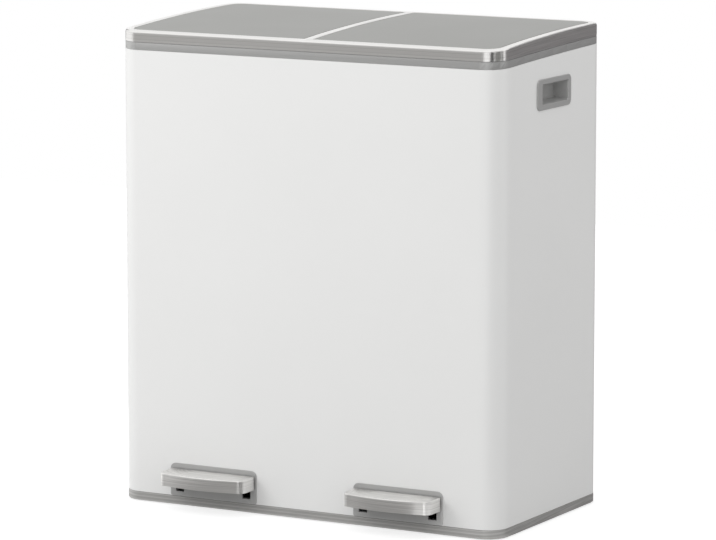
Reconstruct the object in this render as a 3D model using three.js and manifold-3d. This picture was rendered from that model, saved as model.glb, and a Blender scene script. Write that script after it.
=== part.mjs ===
// A double recycling bin: one steel body with two lids, two pedals and two lift-out buckets.
// Millimetres. +Z is up, the pedals face -Y and the lids hinge along X at the back.
// The right compartment is modelled at +X, and the left one is its mirror image.

import * as THREE from "three";
import { mergeVertices } from "three/addons/utils/BufferGeometryUtils.js";
import Module from "manifold-3d";

const wasm = await Module();
wasm.setup();

// ---- Driving dimensions -------------------------------------------------------------------

// Body
const BODY_WIDTH = 590;
const BODY_DEPTH = 316;
const CORNER_RADIUS = 30;
const SHEET = 1.2;
const FOOT_PROUD = 1.5;
const TRIM_TOP = 13.5;
const TRIM_PROUD = 0.6;
const BODY_TOP = 631.5; // top edge of the steel body at the front
const BAND_HEIGHT = 10; // plastic band between the body and the steel rim
const RIM_TOP = 657.5; // top of the steel rim at the front
const BODY_RISE = 10.5; // the body's top edge climbs this much towards the back
const BODY_BOW = 1.1; // and bows up by this much halfway
const TOP_RISE = 12.5; // the lids and the rim climb along a parabola that is level at the back

// Clearances
const SEAT_GAP = 0.3; // between pieces that touch
const BORE_PLAY = 0.1; // radial, around pins and rods
const LID_GAP = 1.2; // around the front and sides of a lid
const LID_REAR_GAP = 1.5;

// Rim
const RIM_WIDTH = 12;
const RIM_FILLET = 4;
const RIM_LIP = 7;
const RIM_INNER_BEVEL = 0.8;
const BAR_WIDTH = 13;

// Top frame
const WALL = 2.3;
const FRAME_SKIRT_HEIGHT = 25.5; // below the body's top edge
const DECK_DROP = 3.5; // from the body's top edge to the deck
const DECK_THICKNESS = 3;
const DECK_LIP = 10; // height of the lip under the edge of a bucket's hole
const DECK_LIP_THICKNESS = 2;
const RIM_SUPPORT_GAP = 0.4; // between the frame and the steel rim that it carries
const RIM_SUPPORT = 1.8; // thickness of the ledge under the rim
const WEB_THICKNESS = 6; // of the wall under the bar between the lids

// Base
const TRAY_FLOOR = 4.5;
const TRAY_THICKNESS = 3;
const TRAY_UPSTAND_TOP = 36;
const RIB_THICKNESS = 2.4;
const CROSS_RIBS = 4; // how many ribs run along X
const CROSS_RIB = 5; // and their height
const FIRST_RIB = 40; // from the axle to the first of them
const LAST_RIB = 21; // from the body's back to the last of them
const LONG_RIB = 4; // height of the ribs that run along Y
const TRIM_INSET = 0.2; // of the trim band's top and bottom edges from the body's outline
const TRIM_BEVEL = 0.8;
const TRAY_EDGE = 3; // from the body's outline to the inside of the trim band
const PAD_RADIUS = 13;
const PAD_STEM_RADIUS = 4;
const PAD_BEVEL = 1;
const PAD_INSET = 40; // from the body's sides
const STEM_STEPS = 12;

// Lids
const LID_SHEET = 1.5;
const LID_SKIRT = 8;
const LINER_SKIRT = 12;
const LINER_SHEET = 1.2;
const LINER_RIB = 1.5; // thickness of the liner's ribs
const LINER_RIB_HEIGHT = 8; // below the lid's top surface
const LINER_RIB_END = 3; // from the lid's edge to the end of a rib
const LID_INNER_CORNER = 3.5;
const LID_INNER_CORNER_MIN = 1;
const HINGE_INSET = 26; // from the lid's rear edge
const HINGE_DROP = 8; // below the lid's top surface at the back
const HINGE_ROD_RADIUS = 2;
const HINGE_BOSS_RADIUS = 5;
const HINGE_POST_INSET = 11.05; // from the lid's ends to the middle of a post
const HINGE_POST_THICKNESS = 8;
const HINGE_POST_FOOT = 10; // how much further forward a post's foot reaches
const HINGE_ROD_END = 1.5; // how far the hinge rod stands out of a post
const HINGE_LUG_THICKNESS = 8;
const HINGE_LUG_GAP = 1; // between a lug and its post
const LUG_FRONT = 16; // where the lug's root starts, in front of the hinge
const LUG_BACK = 12;
const POST_PLAY = 0.6; // radial, between the liner and a post

// Push rod and the crank that it drives
const CRANK_RADIUS = 32;
const CRANK_START_DEG = -42;
const CRANK_PIN_RADIUS = 3;
const CRANK_CHEEK_RADIUS = 6;
const CRANK_CHEEK_THICKNESS = 3;
const CRANK_CHEEK_GAP = 1.5; // between a cheek and the yoke
const CHEEK_FRONT = 14; // where the cheek's root starts, in front of the pin
const CHEEK_BACK = 15;
const ROD_RADIUS = 4;
const ROD_CLEARANCE = 1.28; // between the rod and the crank pin, with the lid shut
const YOKE_WIDTH = 13;
const YOKE_WALL = 3;
const YOKE_PLAY = 1.2; // above and below the crank pin
const YOKE_SLOT_STEPS = 8;
const ROD_FOOT_RADIUS = 9;
const ROD_FOOT_THICKNESS = 4;
const ROD_FOOT_GAP = 0.2; // above the lever's tip
const GUIDE_Z = 300;
const GUIDE_PLATE_WIDTH = 32;
const GUIDE_PLATE_HEIGHT = 48;
const GUIDE_THICKNESS = 3;
const GUIDE_ARM_WIDTH = 16; // at the collar
const GUIDE_ARM_ROOT = 24; // at the wall
const GUIDE_ARM_THICKNESS = 6;
const GUIDE_COLLAR_WALL = 4;
const GUIDE_COLLAR_HEIGHT = 16;
const GUIDE_GUSSET_HEIGHT = 22;

// Pedals
const PEDAL_SHIFT = 3; // from the middle of a half of the body, towards the middle
const PEDAL_WIDTH = 133;
const PEDAL_REACH = 44; // in front of the body
const PEDAL_BOTTOM = 34.3;
const PEDAL_TOP = 53.2;
const PEDAL_BOW = 6;
const PEDAL_BOW_STEPS = 10;
const PEDAL_CORNER = 11;
const PEDAL_CORNER_STEPS = 6;
const PEDAL_BOW_DEG = 8; // how far the front has turned where it meets a corner
const PEDAL_FILLET = 1.5;
const PEDAL_BACK_GAP = 4.5;
const PEDAL_SHEET = 1;
const CORE_RECESS = 0.5; // from the cap's lower edge to the core
const CORE_POCKETS = 3;
const CORE_POCKET_WALL = 4; // between two pockets
const CORE_POCKET_REAR = 3.5; // from the pedal's back to a pocket
const CORE_POCKET_DEPTH = 8.5;
const CORE_ROOF = 2;
const ARM_INSET = 13.5; // from the pedal's end to the middle of a lever arm
const ARM_THICKNESS = 4;
const ARM_HEIGHT = 12;
const ARM_DROP = 3; // from the pedal's top to the lever arms
const ARM_SLOPE_TOP = 18; // where the arm's upper edge turns down, in front of the axle
const ARM_SLOPE_BOTTOM = 30;
const BAR_SETBACK = 15; // from the pedal's back to the lever's cross bar
const BAR_DEPTH = 8;
const PIVOT_INSET = 60; // from the body's front to the axle
const PIVOT_Z = 28.5;
const AXLE_RADIUS = 4;
const AXLE_HEAD = 1.8; // how much the axle's heads stand out, radially
const AXLE_HEAD_THICKNESS = 2;
const LEVER_BOSS_WALL = 5;
const LEVER_BOSS_WIDTH = 8;
const SADDLE_GAP = 2; // between a lever boss and its saddle
const SADDLE_THICKNESS = 8;
const SADDLE_FOOT = 6; // how much wider a saddle is at its foot
const CROSS_OVERLAP = 3; // of the lever's rear cross bar with the bosses
const CROSS_DEPTH = 8;
const LONG_ARM_WIDTH = 8;
const LONG_ARM_ABOVE = 5; // from the axle's height to the long arm's upper edge
const LONG_ARM_BELOW = 6;
const TIP_LENGTH = 18; // of the long arm's straight end
const TIP_ABOVE = 2;
const TIP_BELOW = 4.5;
const LEVER_TIP_RADIUS = 5;
const LEVER_TIP_WIDTH = 10;
const LEVER_TIP_DROP_DEG = 2;

// Pedal bezels
const BEZEL_MARGIN = 2; // how much wider the bezel is than the pedal, at each end
const BEZEL_RISE = 0.7; // above the trim band
const BEZEL_TOP = 60;
const BEZEL_CORNER = 8;
const BEZEL_LOWER_CORNER = 2.5;
const BEZEL_BEVEL = 0.5;
const BEZEL_THICKNESS = 1.3;
const PLUG_INSET_X = 5.5; // from the bezel's edges to the plug behind it
const PLUG_INSET_Z = 4.3;
const PLUG_DEPTH = 9;
const PLUG_WALL = 2;
const PLUG_FACE = 0.7; // thickness of the bezel's face inside the plug
const SLOT_WIDTH = 13;
const SLOT_BOTTOM = 20.5;
const SLOT_HEADROOM = 2.3; // above the lever arm
const SLOT_CORNER = 1;
const CATCH_OFFSET = 30; // from the middle of the bezel
const CATCH_WIDTH = 10;
const CATCH_DEPTH = 5;
const CATCH_HEIGHT = 1.5;
const CATCH_GAP = 0.5; // behind the body's sheet
const TRAY_WINDOW_MARGIN = 2.4; // around the plug, in the tray
const TRAY_WINDOW_SILL = 2.5; // above the trim band

// Side handles
const HANDLE_Y = 2;
const HANDLE_DROP = 44; // from the body's top edge
const HANDLE_LENGTH = 102;
const HANDLE_HEIGHT = 42;
const HANDLE_CORNER = 8;
const HANDLE_PROUD = 1.5;
const HANDLE_DEPTH = 23;
const HANDLE_MOUTH_LENGTH = 78;
const HANDLE_MOUTH_HEIGHT = 26;
const HANDLE_MOUTH_CORNER = 4;
const HANDLE_MOUTH_BEVEL = 2;
const HANDLE_TAPER = 4; // how much shorter and lower the recess is at its end
const HANDLE_EDGE_BEVEL = 0.8;
const HANDLE_WALL = 2;
const HANDLE_LAP = 4; // of the flange over the body's sheet

// Buckets
const BUCKET_SHIFT = 0.5; // from the middle of a half of the body, outwards
const BUCKET_SIDE_GAP = 26.5; // from the bucket to the body's side and to its middle
const BUCKET_FRONT_GAP = 22;
const BUCKET_REAR_GAP = 9.3; // from the bucket to the yoke
const BUCKET_BOTTOM = 76;
const BUCKET_TAPER = 9;
const BUCKET_WALL = 2;
const BUCKET_CORNER = 16;
const BUCKET_BASE_ROUND = 5;
const BUCKET_BASE = 3; // thickness
const BUCKET_FLANGE = 6;
const BUCKET_FLANGE_THICKNESS = 3;
const BUCKET_PLAY = 2; // between a bucket and the deck's hole
const BAIL_RADIUS = 2.2;
const BAIL_HOLE_PLAY = 0.8;
const BAIL_INSET = 0.6; // from the middle of the flange, inwards
const BAIL_HOOK = 4;
const BAIL_BEND = 14;
const BAIL_END = 2.8; // how deep the bail's ends sit in the flange
const BAIL_SIDES = 8;

// Smoothness
const BODY_CORNER_STEPS = 5;
const CORNER_STEPS = 4;
const DEPTH_STEPS = 6; // along Y, for surfaces that climb towards the back
const SIDE_STEPS = 6;
const ROUND_STEPS = 16;
const FILLET_STEPS = 3;
const BOSS_STEPS = 6; // for half-round ends
const FLAT_TOLERANCE = 0.002; // points this near to a flat face are merged into it
const ROOT = 1; // how far a piece that grows out of another one starts inside it
const PAST = 5; // how far a cutting tool reaches past what it cuts

// ---- Values that follow -------------------------------------------------------------------

const FRONT = -BODY_DEPTH / 2;
const BACK = BODY_DEPTH / 2;
const SIDE = BODY_WIDTH / 2;
const FRAME_SKIRT_BOTTOM = BODY_TOP - FRAME_SKIRT_HEIGHT;
const DECK_TOP = BODY_TOP - DECK_DROP;
const TRAY_FLOOR_TOP = TRAY_FLOOR + TRAY_THICKNESS;
const HANDLE_Z = BODY_TOP - HANDLE_DROP;

const LID_INNER_X = BAR_WIDTH / 2 + LID_GAP;
const LID_OUTER_X = SIDE - RIM_WIDTH - LID_GAP;
const LID_X = (LID_INNER_X + LID_OUTER_X) / 2;
const LID_FRONT = FRONT + RIM_WIDTH + LID_GAP;
const LID_BACK = BACK - RIM_WIDTH - LID_REAR_GAP;
const HINGE_Y = LID_BACK - HINGE_INSET;
const HINGE_Z = RIM_TOP + TOP_RISE - HINGE_DROP;
const HINGE_POST_OFFSET = (LID_OUTER_X - LID_INNER_X) / 2 - HINGE_POST_INSET;

const CRANK_START = THREE.MathUtils.degToRad(CRANK_START_DEG);
const CRANK_Y = HINGE_Y - CRANK_RADIUS * Math.cos(CRANK_START);
const CRANK_Z = HINGE_Z + CRANK_RADIUS * Math.sin(CRANK_START);
const ROD_Y = CRANK_Y + CRANK_PIN_RADIUS + ROD_CLEARANCE + ROD_RADIUS;
const YOKE_SLOT = CRANK_PIN_RADIUS + YOKE_PLAY; // half of the slot's height
const YOKE_FRONT = HINGE_Y - CRANK_RADIUS - YOKE_SLOT - YOKE_WALL;

const PEDAL_X = SIDE / 2 - PEDAL_SHIFT;
const PEDAL_FRONT = FRONT - PEDAL_REACH;
const PEDAL_BACK = FRONT - PEDAL_BACK_GAP;
const ARM_X = PEDAL_WIDTH / 2 - ARM_INSET;
const ARM_TOP = PEDAL_TOP - ARM_DROP;
const ARM_BOTTOM = ARM_TOP - ARM_HEIGHT;
const PIVOT_Y = FRONT + PIVOT_INSET;
const LEVER_BOSS_RADIUS = AXLE_RADIUS + LEVER_BOSS_WALL;
const SADDLE_INNER = ARM_X + LEVER_BOSS_WIDTH / 2 + SADDLE_GAP;
const SADDLE_OUTER = SADDLE_INNER + SADDLE_THICKNESS;
const LEVER_LENGTH = ROD_Y - PIVOT_Y;
const LEVER_TIP_Z =
  PIVOT_Z - LEVER_LENGTH * Math.sin(THREE.MathUtils.degToRad(LEVER_TIP_DROP_DEG));
const ROD_BOTTOM = LEVER_TIP_Z + LEVER_TIP_RADIUS + ROD_FOOT_GAP;

const BEZEL_WIDTH = PEDAL_WIDTH + 2 * BEZEL_MARGIN;
const BEZEL_BOTTOM = TRIM_TOP + BEZEL_RISE;
const PLUG_HALF = BEZEL_WIDTH / 2 - PLUG_INSET_X;
const PLUG_BOTTOM = BEZEL_BOTTOM + PLUG_INSET_Z;
const PLUG_TOP = BEZEL_TOP - PLUG_INSET_Z;
const SLOT_TOP = ARM_TOP + SLOT_HEADROOM;

const BUCKET_X = SIDE / 2 + BUCKET_SHIFT;
const BUCKET_HALF_WIDTH = SIDE / 2 - BUCKET_SIDE_GAP;
const BUCKET_FRONT = FRONT + BUCKET_FRONT_GAP;
const BUCKET_BACK = YOKE_FRONT - BUCKET_REAR_GAP;
const FLANGE_TOP = DECK_TOP + SEAT_GAP + BUCKET_FLANGE_THICKNESS;
const BAIL_HALF_WIDTH = BUCKET_HALF_WIDTH + BUCKET_FLANGE / 2 - BAIL_INSET;
const BAIL_PIVOT_Y = (BUCKET_FRONT + BUCKET_BACK) / 2;

// How far along the body a point is: 0 at the front face and 1 at the back face.
function alongDepth(y) {
  return Math.min(1, Math.max(0, (y - FRONT) / BODY_DEPTH));
}

// Height of the body's top edge.
function bodyTop(y) {
  const t = alongDepth(y);
  return BODY_TOP + BODY_RISE * t + 4 * BODY_BOW * t * (1 - t);
}

// Height of the joint between the plastic band and the steel rim.
function bandTop(y) {
  return bodyTop(y) + BAND_HEIGHT;
}

// Height of the surface that the rim, the bar and both lids share.
function rimTop(y) {
  const t = alongDepth(y);
  return RIM_TOP + TOP_RISE * t * (2 - t);
}

// A level surface, written the way the curved ones are.
function level(z) {
  return () => z;
}

// A surface a fixed distance above another one.
function above(surface, distance) {
  return (y) => surface(y) + distance;
}

// ---- Solids -------------------------------------------------------------------------------

// A closed solid from corner positions and triangles, turned to face outwards.
function solidFromTriangles(positions, triangles) {
  const build = (faces) =>
    new wasm.Manifold(
      new wasm.Mesh({
        numProp: 3,
        vertProperties: new Float32Array(positions.flat()),
        triVerts: new Uint32Array(faces.flat()),
      }),
    );
  const solid = build(triangles);
  return solid.volume() >= 0 ? solid : build(triangles.map(([a, b, c]) => [a, c, b]));
}

function solidFromGeometry(geometry) {
  const bare = geometry.clone();
  bare.deleteAttribute("normal");
  bare.deleteAttribute("uv");
  const merged = mergeVertices(bare, 1e-4);
  return new wasm.Manifold(
    new wasm.Mesh({
      numProp: 3,
      vertProperties: merged.attributes.position.array,
      triVerts: new Uint32Array(merged.index.array),
    }),
  );
}

function geometryFromSolid(solid) {
  const mesh = solid.asOriginal().simplify(FLAT_TOLERANCE).getMesh();
  const positions = new Float32Array(mesh.numVert * 3);
  for (let i = 0; i < mesh.numVert; i++) {
    positions.set(mesh.vertProperties.subarray(i * mesh.numProp, i * mesh.numProp + 3), i * 3);
  }
  const indexed = new THREE.BufferGeometry()
    .setAttribute("position", new THREE.BufferAttribute(positions, 3))
    .setIndex(new THREE.BufferAttribute(mesh.triVerts, 1));
  const flat = indexed.toNonIndexed();
  flat.computeVertexNormals();
  return flat;
}

function join(first, ...others) {
  return others.reduce((sum, other) => sum.add(other), first);
}

function cut(body, ...tools) {
  return tools.reduce((rest, tool) => rest.subtract(tool), body);
}

function block(x0, x1, y0, y1, z0, z1) {
  const geometry = new THREE.BoxGeometry(x1 - x0, y1 - y0, z1 - z0);
  geometry.translate((x0 + x1) / 2, (y0 + y1) / 2, (z0 + z1) / 2);
  return solidFromGeometry(geometry);
}

function cylinder(radius, length, steps) {
  return new THREE.CylinderGeometry(radius, radius, length, steps);
}

// A round bar along X.
function barX(radius, x0, x1, y, z, steps = ROUND_STEPS) {
  const geometry = cylinder(radius, x1 - x0, steps);
  geometry.rotateZ(Math.PI / 2);
  geometry.translate((x0 + x1) / 2, y, z);
  return solidFromGeometry(geometry);
}

// A round bar along Z.
function barZ(radius, x, y, z0, z1, steps = ROUND_STEPS) {
  const geometry = cylinder(radius, z1 - z0, steps);
  geometry.rotateX(Math.PI / 2);
  geometry.translate(x, y, (z0 + z1) / 2);
  return solidFromGeometry(geometry);
}

// An outline in the XY plane, extruded from z0 to z1.
function prismZ(points, z0, z1) {
  const shape = new THREE.Shape(points.map(([x, y]) => new THREE.Vector2(x, y)));
  const geometry = new THREE.ExtrudeGeometry(shape, { depth: z1 - z0, bevelEnabled: false });
  geometry.translate(0, 0, z0);
  return solidFromGeometry(geometry);
}

// An outline in the YZ plane, extruded from x0 to x1.
function prismX(points, x0, x1) {
  const shape = new THREE.Shape(points.map(([y, z]) => new THREE.Vector2(y, z)));
  const geometry = new THREE.ExtrudeGeometry(shape, { depth: x1 - x0, bevelEnabled: false });
  const basis = new THREE.Matrix4().makeBasis(
    new THREE.Vector3(0, 1, 0),
    new THREE.Vector3(0, 0, 1),
    new THREE.Vector3(1, 0, 0),
  );
  geometry.applyMatrix4(basis);
  geometry.translate(x0, 0, 0);
  return solidFromGeometry(geometry);
}

// Corner points of a rounded rectangle, anticlockwise from the lower right corner.
// radii: lower right, upper right, upper left, lower left.
function roundedRectangle(u0, u1, v0, v1, radii, steps = CORNER_STEPS) {
  const r = Array.isArray(radii) ? radii : [radii, radii, radii, radii];
  const corners = [
    [u1 - r[0], v0 + r[0], r[0], -90],
    [u1 - r[1], v1 - r[1], r[1], 0],
    [u0 + r[2], v1 - r[2], r[2], 90],
    [u0 + r[3], v0 + r[3], r[3], 180],
  ];
  const points = [];
  for (const [u, v, radius, startDeg] of corners) {
    for (let i = 0; i <= steps; i++) {
      const angle = THREE.MathUtils.degToRad(startDeg + (90 * i) / steps);
      points.push([u + radius * Math.cos(angle), v + radius * Math.sin(angle)]);
    }
  }
  return points;
}

// A solid through a stack of rings that hold the same number of points, capped at both ends.
function loft(rings) {
  const count = rings[0].length;
  const triangles = [];
  for (let r = 0; r + 1 < rings.length; r++) {
    for (let i = 0; i < count; i++) {
      const next = (i + 1) % count;
      const a = r * count + i;
      const b = r * count + next;
      triangles.push([a, b, b + count], [a, b + count, a + count]);
    }
  }
  const last = (rings.length - 1) * count;
  for (let i = 1; i + 1 < count; i++) {
    triangles.push([0, i + 1, i], [last, last + i, last + i + 1]);
  }
  return solidFromTriangles(rings.flat(), triangles);
}

// The body's plan outline with outward directions. Its sides are divided along Y, so that
// edges which climb towards the back can bend.
function bodyOutline() {
  const straightX = SIDE - CORNER_RADIUS;
  const straightY = BACK - CORNER_RADIUS;
  const points = [];
  const corner = (x, y, startDeg) => {
    for (let i = 0; i <= BODY_CORNER_STEPS; i++) {
      const angle = THREE.MathUtils.degToRad(startDeg + (90 * i) / BODY_CORNER_STEPS);
      const nx = Math.cos(angle);
      const ny = Math.sin(angle);
      points.push({ x: x + CORNER_RADIUS * nx, y: y + CORNER_RADIUS * ny, nx, ny });
    }
  };
  const side = (x, nx, fromY, toY) => {
    for (let i = 1; i < SIDE_STEPS; i++) {
      points.push({ x, y: fromY + ((toY - fromY) * i) / SIDE_STEPS, nx, ny: 0 });
    }
  };
  corner(straightX, -straightY, -90);
  side(SIDE, 1, -straightY, straightY);
  corner(straightX, straightY, 0);
  corner(-straightX, straightY, 90);
  side(-SIDE, -1, straightY, -straightY);
  corner(-straightX, -straightY, 180);
  return points;
}

const OUTLINE = bodyOutline();

// A hoop that follows the body's outline. Each profile point is an inset from the outline and
// a surface that gives its height.
function hoop(profile) {
  const count = profile.length;
  const positions = [];
  for (const { x, y, nx, ny } of OUTLINE) {
    for (const [inset, surface] of profile) {
      const py = y - ny * inset;
      positions.push([x - nx * inset, py, surface(py)]);
    }
  }
  const triangles = [];
  for (let i = 0; i < OUTLINE.length; i++) {
    const next = (i + 1) % OUTLINE.length;
    for (let j = 0; j < count; j++) {
      const along = (j + 1) % count;
      const a = i * count + j;
      const b = i * count + along;
      const c = next * count + along;
      const d = next * count + j;
      triangles.push([a, b, c], [a, c, d]);
    }
  }
  return solidFromTriangles(positions, triangles);
}

// A level plate that fills the body's outline at an inset.
function plateInBody(inset, z0, z1) {
  const points = OUTLINE.map(({ x, y, nx, ny }) => [x - nx * inset, y - ny * inset]);
  return prismZ(points, z0, z1);
}

// The space between two surfaces that vary with y, over a span of x and y.
function slab(x0, x1, y0, y1, upper, lower, steps = DEPTH_STEPS) {
  const ys = Array.from({ length: steps + 1 }, (_, i) => y0 + ((y1 - y0) * i) / steps);
  const outline = [
    ...ys.map((y) => [y, lower(y)]),
    ...ys.reverse().map((y) => [y, upper(y)]),
  ];
  return prismX(outline, x0, x1);
}

// A round wire through a list of points.
function wire(points, radius, sides) {
  const path = points.map((point) => new THREE.Vector3(...point));
  const normal = new THREE.Vector3(1, 0, 0);
  const rings = path.map((point, i) => {
    const before = path[Math.max(0, i - 1)];
    const after = path[Math.min(path.length - 1, i + 1)];
    const tangent = after.clone().sub(before).normalize();
    normal.addScaledVector(tangent, -normal.dot(tangent)).normalize();
    const across = new THREE.Vector3().crossVectors(tangent, normal);
    return Array.from({ length: sides }, (_, k) => {
      const angle = (2 * Math.PI * k) / sides;
      return point
        .clone()
        .addScaledVector(normal, radius * Math.cos(angle))
        .addScaledVector(across, radius * Math.sin(angle))
        .toArray();
    });
  });
  return loft(rings);
}

// Points of an arc in profile coordinates, from one angle to another in degrees.
function arc(centreU, centreV, radius, fromDeg, toDeg, steps) {
  return Array.from({ length: steps + 1 }, (_, i) => {
    const angle = THREE.MathUtils.degToRad(fromDeg + ((toDeg - fromDeg) * i) / steps);
    return [centreU + radius * Math.cos(angle), centreV + radius * Math.sin(angle)];
  });
}

// ---- Body, base, frame and rim ------------------------------------------------------------

// The opening in the body's front for one pedal bezel.
function pedalWindow(side, margin, z0) {
  const half = PLUG_HALF + margin;
  const x = side * PEDAL_X;
  const back = FRONT + PLUG_DEPTH + PAST;
  return block(x - half, x + half, FRONT - PAST, back, z0, PLUG_TOP + margin);
}

// The opening in the body's side for one handle pocket.
function handleWindow(side) {
  const halfLength = HANDLE_LENGTH / 2 - HANDLE_LAP;
  const halfHeight = HANDLE_HEIGHT / 2 - HANDLE_LAP;
  const outline = roundedRectangle(
    HANDLE_Y - halfLength,
    HANDLE_Y + halfLength,
    HANDLE_Z - halfHeight,
    HANDLE_Z + halfHeight,
    HANDLE_CORNER,
  );
  const x = side * SIDE;
  return prismX(outline, x - PAST, x + PAST);
}

// The steel tube of the body, with windows for the bezels and the handles.
function bodyShell() {
  const bottom = level(TRIM_TOP + SEAT_GAP);
  const tube = hoop([
    [0, bottom],
    [0, bodyTop],
    [SHEET, bodyTop],
    [SHEET, bottom],
  ]);
  return cut(
    tube,
    pedalWindow(1, SEAT_GAP, PLUG_BOTTOM - SEAT_GAP),
    pedalWindow(-1, SEAT_GAP, PLUG_BOTTOM - SEAT_GAP),
    handleWindow(1),
    handleWindow(-1),
  );
}

// Two upright ears that carry one pedal's axle.
function axleSaddles(side) {
  const foot = LEVER_BOSS_RADIUS + SADDLE_FOOT;
  const outline = [
    [PIVOT_Y + foot, TRAY_FLOOR_TOP - ROOT],
    ...arc(PIVOT_Y, PIVOT_Z, LEVER_BOSS_RADIUS, 0, 180, BOSS_STEPS),
    [PIVOT_Y - foot, TRAY_FLOOR_TOP - ROOT],
  ];
  const x = side * PEDAL_X;
  const ears = join(
    prismX(outline, x - SADDLE_OUTER, x - SADDLE_INNER),
    prismX(outline, x + SADDLE_INNER, x + SADDLE_OUTER),
  );
  const reach = SADDLE_OUTER + PAST;
  return cut(ears, barX(AXLE_RADIUS + BORE_PLAY, x - reach, x + reach, PIVOT_Y, PIVOT_Z));
}

// Stiffening ribs that cross the tray floor under the pedal levers.
function trayRibs() {
  const root = TRAY_FLOOR_TOP - ROOT;
  const half = RIB_THICKNESS / 2;
  const sideX = SIDE - TRAY_EDGE;
  const ribs = [];
  const firstY = PIVOT_Y + FIRST_RIB;
  const lastY = BACK - LAST_RIB;
  for (let i = 0; i < CROSS_RIBS; i++) {
    const y = firstY + ((lastY - firstY) * i) / (CROSS_RIBS - 1);
    ribs.push(block(-sideX, sideX, y - half, y + half, root, TRAY_FLOOR_TOP + CROSS_RIB));
  }
  const beside = SADDLE_OUTER + AXLE_HEAD_THICKNESS + PAST;
  const places = [PEDAL_X - beside, PEDAL_X + beside];
  for (const x of [0, ...places, ...places.map((place) => -place)]) {
    const top = TRAY_FLOOR_TOP + LONG_RIB;
    ribs.push(block(x - half, x + half, FRONT + TRAY_EDGE, BACK - TRAY_EDGE, root, top));
  }
  return join(...ribs);
}

const PAD_X = SIDE - PAD_INSET;
const PAD_Y = BACK - PAD_INSET;
const PAD_PLACES = {
  front_left: [-PAD_X, -PAD_Y],
  front_right: [PAD_X, -PAD_Y],
  rear_left: [-PAD_X, PAD_Y],
  rear_right: [PAD_X, PAD_Y],
};

// The moulded base: a trim band, an upstand inside the body and a ribbed floor.
function baseTray() {
  const upstand = SHEET + SEAT_GAP;
  const ring = hoop([
    [TRIM_INSET, level(FOOT_PROUD)],
    [-TRIM_PROUD, level(FOOT_PROUD + TRIM_BEVEL)],
    [-TRIM_PROUD, level(TRIM_TOP - TRIM_BEVEL)],
    [TRIM_INSET, level(TRIM_TOP)],
    [upstand, level(TRIM_TOP)],
    [upstand, level(TRAY_UPSTAND_TOP)],
    [upstand + WALL, level(TRAY_UPSTAND_TOP)],
    [upstand + WALL, level(TRAY_FLOOR)],
    [TRAY_EDGE, level(TRAY_FLOOR)],
    [TRAY_EDGE, level(FOOT_PROUD)],
  ]);
  const floor = plateInBody(TRAY_EDGE + TRIM_INSET, TRAY_FLOOR, TRAY_FLOOR_TOP);
  const stemHoles = Object.values(PAD_PLACES).map(([x, y]) => {
    const radius = PAD_STEM_RADIUS + SEAT_GAP;
    return barZ(radius, x, y, TRAY_FLOOR - PAST, TRAY_FLOOR_TOP + PAST, STEM_STEPS);
  });
  const solid = join(ring, floor, trayRibs(), axleSaddles(1), axleSaddles(-1));
  return cut(
    solid,
    pedalWindow(1, TRAY_WINDOW_MARGIN, TRIM_TOP + TRAY_WINDOW_SILL),
    pedalWindow(-1, TRAY_WINDOW_MARGIN, TRIM_TOP + TRAY_WINDOW_SILL),
    ...stemHoles,
  );
}

// A rubber pad with a stem that pushes into the base.
function footPad() {
  const profile = [
    [0, 0],
    [PAD_RADIUS - PAD_BEVEL, 0],
    [PAD_RADIUS, PAD_BEVEL],
    [PAD_RADIUS, TRAY_FLOOR - SEAT_GAP],
    [PAD_STEM_RADIUS, TRAY_FLOOR - SEAT_GAP],
    [PAD_STEM_RADIUS, TRAY_FLOOR_TOP],
    [0, TRAY_FLOOR_TOP],
  ];
  const geometry = new THREE.LatheGeometry(
    profile.map(([r, z]) => new THREE.Vector2(r, z)),
    ROUND_STEPS,
  );
  geometry.rotateX(Math.PI / 2);
  return solidFromGeometry(geometry);
}

// The hole in the deck that one bucket hangs in, grown by a margin.
function bucketHole(side, margin, z0, z1) {
  const grow = BUCKET_PLAY + margin;
  const x = side * BUCKET_X;
  const outline = roundedRectangle(
    x - BUCKET_HALF_WIDTH - grow,
    x + BUCKET_HALF_WIDTH + grow,
    BUCKET_FRONT - grow,
    BUCKET_BACK + grow,
    BUCKET_CORNER + margin,
  );
  return prismZ(outline, z0, z1);
}

// Two posts on the deck that hold one lid's hinge rod.
function hingePosts(side) {
  const posts = [-1, 1].map((end) => {
    const x = side * LID_X + end * HINGE_POST_OFFSET;
    const shoulder = HINGE_BOSS_RADIUS * Math.SQRT1_2;
    const outline = [
      [HINGE_Y + shoulder, DECK_TOP - ROOT],
      ...arc(HINGE_Y, HINGE_Z, HINGE_BOSS_RADIUS, -45, 180, BOSS_STEPS),
      [HINGE_Y - HINGE_BOSS_RADIUS, HINGE_Z - HINGE_POST_FOOT],
      [HINGE_Y - HINGE_BOSS_RADIUS - HINGE_POST_FOOT, DECK_TOP - ROOT],
    ];
    const half = HINGE_POST_THICKNESS / 2;
    return prismX(outline, x - half, x + half);
  });
  const x = side * LID_X;
  const reach = HINGE_POST_OFFSET + HINGE_POST_THICKNESS;
  const radius = HINGE_ROD_RADIUS + BORE_PLAY;
  return cut(join(...posts), barX(radius, x - reach, x + reach, HINGE_Y, HINGE_Z));
}

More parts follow.
